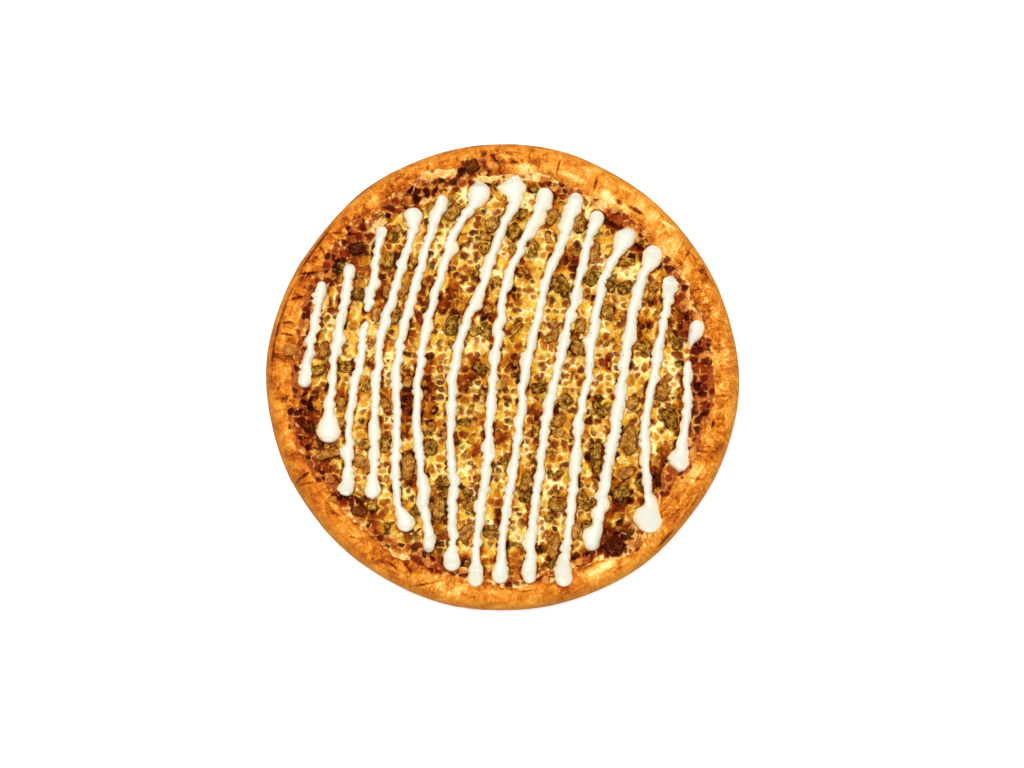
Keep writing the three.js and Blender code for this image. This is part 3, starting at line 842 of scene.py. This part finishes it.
CHEESE_SIDE = 300
cheese_points = node_points("cheese")
cheese_reach = reach_curve(cheese_points)
CHEESE_LEVEL = np.median(cheese_points[cheese_points[:, 2] > FLOOR_HEIGHT + 3, 2])
CHEESE_UNDERSIDE = FLOOR_HEIGHT + 0.6
CHEESE_SINK = 0.3

# Places where the cheese browned most, and with a negative strength where it stayed pale:
# [x, y, half width, half height, strength], in mm.
BROWNED_PLACES = np.array([
    [-79, 53.5, 5, 12, 0.8], [-51, 45, 6, 12, 0.9], [-47.5, -11.5, 6, 25, 0.9], [-61.5, -19, 5, 25, 0.9],
    [-60, -62, 9, 15, 1.0], [-40, -88, 6, 14, 0.8], [-31.5, 68, 7, 20, 0.9], [-36.5, 45, 8, 8, 0.8],
    [-20.5, 4.5, 8, 8, 0.7], [-17.5, -43.5, 6, 20, 0.6], [-10.5, 41, 7, 8, 0.8], [11.5, 48, 10, 8, 0.3],
    [4.5, 7.5, 9, 6, 0.7], [-1.5, -46.5, 6, 5, 0.7], [20.5, -25, 5, 10, 0.6], [47.5, 16.5, 7, 7, 0.5],
    [67, 3.5, 6, 6, 0.4], [91, 31, 6, 14, 0.8], [46.5, 68.5, 7, 7, 0.9], [88, 80.5, 5, 12, 0.7],
    [72, 103, 8, 6, 0.7], [61, -54, 8, 14, 1.0], [75, -78, 8, 8, 0.7], [72, -107.5, 8, 6, 0.6],
    [101, -72.5, 5, 15, 0.7], [105, -60.5, 5, 8, 0.4], [-98, 3.5, 6, 7, 0.7], [-125, -25, 6, 18, 0.7],
    [35.5, -85, 8, 7, 0.4], [32.5, -111.5, 5, 12, 0.5], [-75, 89, 6, 8, 0.4], [-98, 60, 5, 12, 0.7],
    [-118, -55, 8, 12, 0.7], [-104, -85, 8, 10, 0.6], [122, -8, 8, 20, 0.9], [119, 30, 6, 12, 0.7],
    [-100, 39, 7, 9, 0.8], [-75, 17, 6, 8, 0.6], [-88, 6, 8, 6, 0.5], [-45, 24, 5, 9, 0.7],
    [16, 66, 14, 7, 0.5], [38, 72, 6, 10, 0.6], [-5, -83, 5, 14, 0.6], [60, -66, 5, 10, 0.8],
    [52, 6, 5, 10, 0.5], [-78, -35, 9, 6, 0.5], [-101, -36, 8, 5, 0.5], [95, 44, 9, 5, 0.5],
    [86, 0, 7, 8, 0.4], [104, -40, 9, 6, 0.5], [-84, 96, 9, 12, -0.9], [14, 116, 12, 8, -0.8],
    [50, 88, 8, 7, -0.4], [58, 64, 7, 10, -0.8], [-104, 64, 8, 6, -0.5], [62, -8, 8, 12, -0.8],
    [52, -46, 5, 8, -0.5], [25, -96, 5, 20, -0.8], [94, -55, 6, 8, -0.6], [88, -76, 5, 8, -0.4],
    [-95, -77, 8, 5, -0.5], [16, -34, 5, 10, -0.5], [-109, -10, 5, 6, -0.4], [-25, 48, 6, 7, 0.7],
    [-12, -112, 9, 5, 0.6], [62, -118, 7, 5, 0.7], [55, 105, 8, 6, 0.6], [100, -82, 6, 7, 0.7],
    [-27, 117, 8, 7, -0.7], [30, -75, 6, 12, -0.6], [18, 79, 6, 8, -0.5], [-18, 80, 7, 6, -0.6],
    [98, -58, 4, 9, -0.6], [110, -5, 5, 10, -0.6],
])


def browned_places(x, y):
    """How strongly the oven caught the cheese near each listed place, with ragged borders: the
    strongest browning less the strongest paleness."""
    ripple = 0.45 * flat_noise(x, y, 6, 211)
    caught = np.zeros(np.shape(x))
    spared = np.zeros(np.shape(x))
    for px, py, width, height, strength in BROWNED_PLACES:
        apart = np.sqrt(((x - px) / width) ** 2 + ((y - py) / height) ** 2) + ripple
        shown = strength * (1 - smoothstep(0.55, 1.15, apart))
        caught = np.maximum(caught, shown)
        spared = np.minimum(spared, shown)
    return caught + spared


def cheese_edge(angle):
    """How far the cheese reaches in each direction."""
    return cheese_reach(angle) + ragged(angle, 233, 2.4)


def cheese_top(x, y):
    """Height of the cheese: gently rolling, with blisters risen or burst and ridges between them,
    falling to the sauce at a ragged edge."""
    inside = cheese_edge(np.arctan2(y, x)) - np.hypot(x, y)
    near, second, kind = cells(x, y, 0 * x, 6.2, 223)
    blister = (1 - smoothstep(0.2, 0.5, near)) * (kind > 0.4)
    ridge = 1 - smoothstep(0.03, 0.25, second - near)
    rolling = 0.55 * flat_noise(x, y, 17, 239, 2) + 0.4 * flat_noise(x, y, 5, 241)
    spots = blister * np.where(kind > 0.7, 0.6, -0.4) + 0.3 * ridge
    burnt = -0.35 * np.maximum(browned_places(x, y), 0)
    level = CHEESE_LEVEL - CHEESE_SINK + rolling + spots + burnt
    low = sauce_top(x, y)
    return low - CHEESE_SINK + np.maximum(level - low, 0.5) * smoothstep(-0.4, 4.5, inside)


def cheese_doneness_and_shade(x, y):
    """How far the cheese has browned, plus painted shade beside the beef and the white lines: 0 is pale
    butter, 1 is burnt.
    """
    inside = cheese_reach(np.arctan2(y, x)) - np.hypot(x, y)
    clouds = 0.14 * flat_noise(x, y, 19, 251, 2) + 0.24 * flat_noise(x, y, 8, 257, 2)
    edge = 0.1 * (1 - smoothstep(1, 9, inside + 3 * flat_noise(x, y, 8, 263, 2)))
    edge = edge + 0.36 * burnt_arcs(x, y)
    caught = 0.5 * browned_places(x, y)
    # Darker beside the beef: partly juice that ran from it, partly painted contact shade.
    juice_and_painted_shade = 0.22 * beef_nearness(x, y)
    # Painted shade: the cheese is darker just beside the white lines, as if they shaded it.
    painted_line_shade = 0.42 * line_nearness(x, y) * smoothstep(-0.4, 0.2, flat_noise(x, y, 5, 269, 2))
    return np.clip(0.36 + clouds + edge + caught + np.maximum(juice_and_painted_shade, painted_line_shade), 0, 1)


def disc_grid(side):
    """The radius and angle of each point of a square grid bent into a disc of radius 1: each square
    ring becomes a circle, and each of its four sides a quarter of it."""
    step = np.linspace(-1, 1, side)
    u, v = np.meshgrid(step, step, indexing="xy")
    radius = np.maximum(np.abs(u), np.abs(v))
    safe = np.maximum(radius, 1e-9)
    on_sides = np.abs(u) > np.abs(v)
    beside = np.pi / 4 * v / safe * np.sign(u) + np.where(u < 0, np.pi, 0)
    ahead = np.sign(v) * np.pi / 2 - np.pi / 4 * u / safe * np.sign(v)
    return radius, np.where(on_sides, beside, ahead)


def cheese_skin():
    """A disc of even small quads over the top, a skirt down to a flat underside, and one face
    across it."""
    radius, angle = disc_grid(CHEESE_SIDE)
    reach = radius * (cheese_edge(angle) + 0.3)
    x, y = reach * np.cos(angle), reach * np.sin(angle)
    top = np.stack([x, y, cheese_top(x, y)], axis=-1).reshape(-1, 3)
    index = np.arange(CHEESE_SIDE ** 2).reshape(CHEESE_SIDE, CHEESE_SIDE)
    quads = np.stack([index[:-1, :-1], index[:-1, 1:], index[1:, 1:], index[1:, :-1]], axis=-1)
    rim = np.concatenate([index[0, :-1], index[:-1, -1], index[-1, :0:-1], index[:0:-1, 0]])
    low = top[rim].copy()
    low[:, 2] = CHEESE_UNDERSIDE
    lower = len(top) + np.arange(len(rim))
    centre = len(top) + len(rim)
    skirt = np.stack([rim, lower, np.roll(lower, -1), np.roll(rim, -1)], axis=-1)
    fan = np.stack([np.full(len(rim), centre), np.roll(lower, -1), lower], axis=-1)
    points = np.concatenate([top, low, [[0, 0, CHEESE_UNDERSIDE]]])
    return points, np.concatenate([quads.reshape(-1, 4), skirt]), fan


def cheese_finish():
    """Melted cheese: butter yellow to amber with soft pale ridges, and close round blisters that
    run from yellow through olive brown to dark red-brown."""
    finish = Finish("melted_cheese", Subsurface_Weight=0.05, Subsurface_Scale=0.0012,
                    Specular_IOR_Level=0.015)
    finish.shader.inputs["Subsurface Radius"].default_value = (1.0, 0.5, 0.15)
    # done also carries the painted shade beside the beef and the white lines.
    done = finish.look("done")
    fine = finish.noise(1.1, 4, 0.65)
    speck = finish.noise(2.6, 3, 0.6)
    shreds = finish.strands(4.5, 0.06, finish.wobbled(3, 1.2))
    colour = finish.ramp(done * 1.1 + (speck - 0.5) * 1.4 + (fine - 0.5) * 0.6 - shreds * 0.2 - 0.12, [
        [0.0, 250, 234, 170], [0.18, 238, 206, 114], [0.36, 220, 168, 62],
        [0.56, 190, 128, 36], [0.78, 146, 82, 18], [1.0, 100, 42, 10],
    ])
    stops = [
        [0.0, 232, 184, 60], [0.18, 210, 144, 32], [0.36, 178, 102, 20],
        [0.54, 138, 58, 10], [0.74, 94, 22, 5], [1.0, 44, 4, 3],
    ]
    layers = [(4.7, 0.18, 0.06), (7.2, 0.06, 0.12)]
    colour, relief = blistered(finish, colour, fine * 0.5 + shreds * 0.5, done, layers, stops)
    ruddy = finish.noise(6, 3, 0.6).between(0.47, 0.62)
    lemon = finish.noise(5, 3, 0.6).between(0.5, 0.66) * (1 - done.between(0.3, 0.6))
    colour = finish.mix(colour, paint(178, 66, 16), ruddy * (0.2 + done * 0.22))
    colour = finish.mix(colour, paint(222, 196, 70), lemon * 0.36)
    return finish.finished(colour, 0.42 + fine * 0.22, finish.bump(relief, 0.6))


skin = cheese_skin()
make_piece("melted_cheese", skin, cheese_finish(), ["cheese"],
           {"done": cheese_doneness_and_shade(skin[0][:, 0], skin[0][:, 1])})


# ---------------------------------------------------------------------------------------------
# Beef
# Chopped cooked beef: short strips and crumbles with the grain of the meat showing, dark where
# they stood up into the heat. They have sunk a little into the cheese as it melted.
# ---------------------------------------------------------------------------------------------

BEEF_SINK = 1.3
LEANING_SHARE = 0.75
RIM_STARTS, RIM_BARE = 131, 136


def baked_top(x, y):
    """Height of whatever the oven has baked at a point: crust, sauce or cheese."""
    return np.maximum(np.maximum(crust_top(x, y), sauce_top(x, y)), cheese_top(x, y))


def squared(wave, power):
    """A sine wave made squarer: its size raised to a power under 1, with its sign kept."""
    return np.sign(wave) * np.abs(wave) ** power


def beef_skin(pieces, sides, rings, grain_size, salt):
    """Lumpy pebbles, each a squared ball whose rings are pushed in and out by noise and by ridges
    along the grain. Returns the skin and its values for the material."""
    turn, rise = np.meshgrid(np.linspace(0, 2 * np.pi, sides, endpoint=False),
                             np.linspace(-np.pi / 2, np.pi / 2, rings + 2)[1:-1], indexing="xy")
    along = squared(np.cos(turn), 0.65) * squared(np.cos(rise), 0.6)
    across = squared(np.sin(turn), 0.65) * squared(np.cos(rise), 0.6)
    above = squared(np.sin(rise), 0.8)
    px, py, angle, length, width, height = (column[:, None, None] for column in pieces.T)
    number = np.arange(len(pieces))[:, None, None] * 37.0
    lump = 1 + 0.34 * layered_noise(along * length + number, across * width, above * height, 4, salt, 2)
    wander = 3 * soft_noise(along * length + number, across, above, 3, salt)
    ridges = 0.05 * np.sin(across * width / grain_size * 2 * np.pi + wander)
    along = along * length * (lump + ridges)
    across = across * width * (lump + ridges)
    x = px + along * np.cos(angle) - across * np.sin(angle)
    y = py + along * np.sin(angle) + across * np.cos(angle)
    rest = baked_top(px, py) - BEEF_SINK
    z = rest + 0.5 * height * (1 + above * (lump + 1.5 * ridges))
    rows = np.stack([x, y, z], axis=-1)
    base = np.stack([pieces[:, 0], pieces[:, 1], rest[:, 0, 0]], axis=-1)
    crown = base + 1.02 * pieces[:, 5:] * np.array([0, 0, 1])

    def at_points(values):
        """Values on the rings, then one for each pole, in the order of the skin's points."""
        flat = np.broadcast_to(values, rows.shape[:3]).reshape(len(pieces), -1)
        return np.concatenate([flat, flat[:, :1], flat[:, -1:]], axis=1).ravel()

    looks = {
        "across_grain": across + number,
        "along_grain": along,
        "shade": np.random.default_rng(salt).uniform(0, 1, (len(pieces), 1, 1)),
        "height": 0.5 + 0.5 * above,
        "burnt": burnt_arcs(px, py),
        "on_rim": smoothstep(RIM_STARTS, RIM_BARE, np.hypot(px, py)),
    }
    return loft(rows, base, crown), {look: at_points(values) for look, values in looks.items()}


def beef_finish():
    """Cooked meat: olive to red brown, in parallel fibres with pale ridges and dark gaps, with painted
    shade making it darker down its sides and lighter on top."""
    finish = Finish("cooked_beef", Specular_IOR_Level=0.015)
    grain = finish.node("ShaderNodeCombineXYZ", {}, {
        0: finish.look("across_grain"), 1: finish.look("along_grain") * 0.35, 2: 0.0}).outputs[0]
    fibres = finish.number("ShaderNodeTexNoise", {}, {
        "Vector": grain, "Scale": 1.1, "Detail": 3.0, "Roughness": 0.65})
    fine = finish.noise(1.0, 3, 0.7)
    mottle = finish.noise(3.0, 2)
    tone = finish.look("shade") * 0.3 + (fibres.between(0.3, 0.7) - 0.5) * 0.42 + (fine - 0.5) * 0.6
    # Painted shade: each piece is lighter towards its top and darker down its sides.
    tone = tone + finish.look("height").between(0.35, 0.95) * 0.36 + (mottle - 0.5) * 1.5
    colour = finish.ramp(tone - finish.look("burnt") * 0.45, [
        [0.0, 44, 14, 4], [0.22, 88, 50, 10], [0.45, 138, 92, 26], [0.7, 186, 136, 54],
        [1.0, 230, 184, 104],
    ])
    ruddy = finish.look("shade").between(0.5, 0.8)
    colour = finish.mix(colour, paint(142, 56, 16), ruddy * 0.4)
    toasted = finish.look("on_rim") * (1 - finish.look("burnt"))
    toast = finish.mix(paint(140, 70, 18), paint(222, 138, 50), fibres)
    colour = finish.mix(colour, toast, toasted * 0.55)
    charred = finish.mix(paint(46, 8, 6), paint(122, 44, 24), fibres.between(0.4, 0.75))
    colour = finish.mix(colour, charred, finish.look("burnt").between(0.5, 1.0) * 0.7)
    return finish.finished(colour, 0.45 + fine * 0.2, finish.bump(fibres + fine, 0.45))


# A piece that leans on the rim stands nearly as high as its CAD node, which lies level.
large_tops = np.array([node_points(name)[:, 2].max() for name in beef_nodes])
above_food = large_tops - baked_top(large_beef[:, 0], large_beef[:, 1]) + BEEF_SINK
large_beef[:, 5] = np.maximum(large_beef[:, 5], LEANING_SHARE * above_food)

beef_material = beef_finish()
for name, pieces, sides, rings, grain_size, salt, nodes in (
        ("beef_pieces", large_beef, 40, 20, 1.5, 307, beef_nodes),
        ("beef_scraps", small_beef, 32, 16, 1.4, 309, ()),
        ("beef_crumbles", crumbles, 18, 9, 1.3, 311, ())):
    skin, looks = beef_skin(pieces, sides, rings, grain_size, salt)
    make_piece(name, skin, beef_material, nodes, looks)


# ---------------------------------------------------------------------------------------------
# White sauce
# Thick creamy garlic sauce squeezed from a bottle in lines across the pizza after baking. It
# stands up a little, and swells into a round blob where each line starts and stops.
# ---------------------------------------------------------------------------------------------

# In mm, for a line FULL_HALF from its middle to its side. The sides sink LINE_SINK into the food.
LINE_SPACING = 0.7
LINE_HEIGHT = 3.2
FULL_HALF = 2.9
LINE_SINK = 0.35
LINE_UNDERSIDE_SINK = 0.9
POINTS_ACROSS = 19


def smoothed(values, width):
    """Values averaged with their neighbours by a bell curve. Past each end they go on as the same
    values turned about that end."""
    reach = int(3 * width) + 1
    bell = np.exp(-0.5 * (np.arange(-reach, reach + 1) / width) ** 2)
    before = 2 * values[0] - values[reach:0:-1]
    after = 2 * values[-1] - values[-2:-reach - 2:-1]
    return np.convolve(np.concatenate([before, values, after]), bell / bell.sum(), mode="valid")


# Lobes where the bottle wavered: [x and y of the outermost point, length along the line], in mm,
# on the left sides of the lines and on the right sides.
LEFT_LOBES = [
    [-24, 113.5, 9], [-4.9, 120, 8], [71.5, 88, 10], [-64.5, 104.5, 8], [-82, 89, 10], [-105, -51, 9],
    [-106, -75, 8], [83, -91.5, 9], [105.8, -56.5, 11], [56, -91.5, 9], [50.5, -104.5, 8], [33, -124, 12],
    [12.5, -108, 12], [11.5, -127, 7], [-16, 65.5, 9], [10.5, 9, 9], [34, 14, 9], [51.5, 18.5, 10],
    [35.5, 99.5, 16], [47, 67, 14], [69.5, 84, 10], [-85.5, 71, 10], [-73.5, 54, 14], [-58, 63.5, 12],
]
RIGHT_LOBES = [
    [-8, 121, 8], [12.5, 112.5, 12], [30, 107, 10], [65.5, 101.5, 9], [84.5, 93, 9], [103.5, 76.5, 9],
    [129.5, 29.5, 8], [-35, 111, 10], [-52, 99.5, 11], [-103.5, -38, 9], [-94.5, -67, 10],
    [-55.5, -96.5, 8], [-43, -106, 9], [96, -72, 11], [101.5, -93, 10], [22.5, -119, 9], [-28.5, -61, 12],
    [-4, -49.5, 11], [-12, 46, 11], [-2.5, 78, 10], [52, 49, 10], [22, 101, 14], [17.5, 0.5, 11],
    [44, 23.5, 12], [60, 89, 14], [57.5, 80, 14], [87, 90.5, 9], [29, 101.5, 14], [24.5, 95, 12],
    [-66.5, 52, 14], [-53, 96.5, 10], [-55.5, 89.5, 10], [-52.5, 57, 14], [-42, 93, 10], [-28, 82, 9],
]

# A lobe that starts further than this from a line's side, in mm, belongs to another line.
LONGEST_LOBE = 6.3


def pushed_by(lobes, way, side, level):
    """How far the lobes push out one side of a line at each level: a soft round bulge for each one
    that starts there. The way is 1 for a right side and -1 for a left side."""
    push = np.zeros(len(level))
    for x, y, length in lobes:
        beyond = way * (x - np.interp(y, level, side))
        if level[0] - 1 < y < level[-1] + 1 and 0 < beyond < LONGEST_LOBE:
            bell = 1 - smoothstep(0.15, 1.0, np.abs(level - y) / (0.75 * length))
            push = np.maximum(push, beyond * bell)
    return push


def stations(near_end, far_end):
    """Places along a line, about LINE_SPACING apart and closer together near both ends: even steps
    less a sine wave."""
    share = np.linspace(0, 1, max(40, int((far_end - near_end) / LINE_SPACING)))
    eased = share - 0.92 * np.sin(2 * np.pi * share) / (2 * np.pi)
    return near_end + (far_end - near_end) * np.clip(eased, 1e-4, 1 - 1e-4)


def rounded_ends(half, level, near_end, far_end):
    """Half widths that follow a circle at each end, and how far from the ends each place is: 0
    within the circle, and 1 from two and a half of its radii on."""
    along = 1
    for gap in (level - near_end, far_end - level):
        radius = gap[half <= gap].min()
        arc = np.sqrt(np.maximum(2 * radius * gap - gap ** 2, 0))
        half = np.where(gap < radius, np.maximum(arc, 0.02), half)
        along = along * smoothstep(radius, 2.5 * radius, gap)
    return half, along


def white_line(edges, salt):
    """One line of sauce over its CAD solid. Its middle and width are read from the solid and
    smoothed, its ends made round, and its sides moved by noise and lobes. Its back is a dome, and a
    few points close it beneath. Returns the skin and how thin the sauce is at each point."""
    level_cut, left_cut, right_cut = edges
    near_end, far_end = level_cut[0] - 0.5, level_cut[-1] + 0.5
    level = stations(near_end, far_end)
    middle_cut = smoothed(0.5 * (left_cut + right_cut), 3)
    middle = np.interp(level, level_cut, middle_cut)
    slope = np.interp(level, level_cut, smoothed(np.gradient(middle_cut), 2.5))
    straight = 1 / np.sqrt(1 + slope ** 2)
    full = np.interp(level, level_cut, smoothed(0.5 * (right_cut - left_cut), 1.5)) * straight
    half, along = rounded_ends(full, level, near_end, far_end)
    capped = half / full
    left = pushed_by(LEFT_LOBES, -1, middle - full, level) * capped
    right = pushed_by(RIGHT_LOBES, 1, middle + full, level) * capped

    travel = level + 1000.0 * salt
    broad = 1 + 0.17 * flat_noise(travel, 0 * travel, 6, 401, 1) * along
    half = np.maximum(half * broad, np.minimum(half, 2.2)) + 0.08
    sway = 0.75 * flat_noise(travel, 0 * travel, 7, 431, 1) * along
    over = np.linspace(-1, 1, POINTS_ACROSS)
    x = (middle + sway)[:, None] + half[:, None] * over * straight[:, None]
    y = level[:, None] - half[:, None] * over * (slope * straight)[:, None]
    beads = 2.6 * np.abs(flat_noise(x, y, 4.2, 419, 1)) - 0.58
    x = x + beads * over ** 2 * np.sign(over) * (along * np.clip(half / 2, 0, 1))[:, None]
    x = x + over ** 2 * np.where(over > 0, right[:, None], -left[:, None])

    dome = (1 - np.abs(over) ** 2.6) ** 0.5
    fat = LINE_HEIGHT * np.clip(half / FULL_HALF, 0, 1.2) ** 0.6
    fat = fat * (1 + 0.1 * flat_noise(travel, 0 * travel, 6, 421, 2))
    crown = (smoothed(baked_top(middle, level), 5) + np.maximum(fat, 0.2))[:, None]
    ground = baked_top(x, y)
    top = np.stack([x, y, (ground - LINE_SINK) * (1 - dome) + crown * dome], axis=-1)
    bottom = np.stack([x, y, np.minimum(ground, crown) - LINE_UNDERSIDE_SINK], axis=-1)
    bottom = bottom[:, ::-3][:, 1:-1]
    rows = np.concatenate([top, bottom], axis=1)
    thin = np.concatenate([1 - dome + 0 * x, 1 + 0 * bottom[..., 0]], axis=1)
    tips = rows[[0, -1]].mean(axis=1)
    return loft(rows[None], tips[:1], tips[1:]), np.concatenate([thin.ravel(), [1, 1]])


def joined(skins):
    """Several skins as one: their points in a row, and the faces' numbers moved on to match."""
    points = np.concatenate([skin[0] for skin in skins])
    start = np.cumsum([0] + [len(skin[0]) for skin in skins[:-1]])
    quads = np.concatenate([skin[1] + first for skin, first in zip(skins, start)])
    triangles = np.concatenate([skin[2] + first for skin, first in zip(skins, start)])
    return points, quads, triangles


def white_sauce_finish():
    """Creamy sauce: almost white with a few dark specks of pepper, and yellower where it is thin."""
    finish = Finish("creamy_sauce", Subsurface_Weight=0.25, Subsurface_Scale=0.002, IOR=1.42)
    finish.shader.inputs["Subsurface Radius"].default_value = (1.0, 0.8, 0.5)
    thin = (finish.look("thin") + (finish.noise(2, 3) - 0.5) * 0.3).between(0.0, 0.42)
    cloud = finish.noise(7, 2)
    colour = finish.mix(paint(212, 212, 198), paint(208, 206, 189), cloud)
    colour = finish.mix(colour, paint(227, 203, 154), thin * 0.85)
    near, kind, _ = finish.scattered(3.4, finish.place)
    pepper = (1 - near.between(0.06, 0.12)) * kind.between(0.9, 0.92)
    colour = finish.mix(colour, paint(96, 92, 60), pepper * 0.75)
    return finish.finished(colour, 0.28 + cloud * 0.12, finish.bump(finish.noise(3, 3), 0.15))


lines = [white_line(edges, number) for number, edges in enumerate(line_edges)]
make_piece("white_sauce", joined([skin for skin, _ in lines]), white_sauce_finish(),
           line_nodes, {"thin": np.concatenate([thin for _, thin in lines])})


# ---------------------------------------------------------------------------------------------
# Table, light and lens
# A plain white table under a soft overhead light.
# ---------------------------------------------------------------------------------------------

TABLE_REACH = 6.0
TABLE_TOP = 0.1 * MM


def table():
    """A large flat sheet of white acrylic, faintly lit from within. It lies a tenth of a
    millimetre up, so that its face and the flat underside of the pizza aren't the same plane."""
    mesh = bpy.data.meshes.new("table")
    corners = [(x * TABLE_REACH, y * TABLE_REACH, TABLE_TOP)
               for x, y in ((-1, -1), (1, -1), (1, 1), (-1, 1))]
    mesh.from_pydata(corners, [], [(0, 1, 2, 3)])
    floor = bpy.data.objects.new("table", mesh)
    bpy.context.scene.collection.objects.link(floor)
    finish = Finish("white_table", Roughness=0.9, Emission_Strength=0.35)
    finish.shader.inputs["Base Color"].default_value = (0.8, 0.8, 0.8, 1)
    finish.shader.inputs["Emission Color"].default_value = (1, 1, 1, 1)
    mesh.materials.append(finish.material)


def soft_light(name, place, size, power):
    """A square lamp at a place, facing the pizza."""
    data = bpy.data.lights.new(name, "AREA")
    data.size = size
    data.energy = power
    lamp = bpy.data.objects.new(name, data)
    lamp.location = place
    lamp.rotation_euler = (-Vector(place)).to_track_quat("-Z", "Y").to_euler()
    bpy.context.scene.collection.objects.link(lamp)


table()
soft_light("key", (-0.2, 0.3, 1.8), 1.0, 18)
soft_light("overhead", (0.1, -0.1, 1.9), 2.4, 12)
world = bpy.data.worlds.new("studio")
world.use_nodes = True
world.node_tree.nodes["Background"].inputs["Color"].default_value = (1, 1, 1, 1)
world.node_tree.nodes["Background"].inputs["Strength"].default_value = 0.75
bpy.context.scene.world = world
bpy.context.scene.view_settings.view_transform = "Standard"
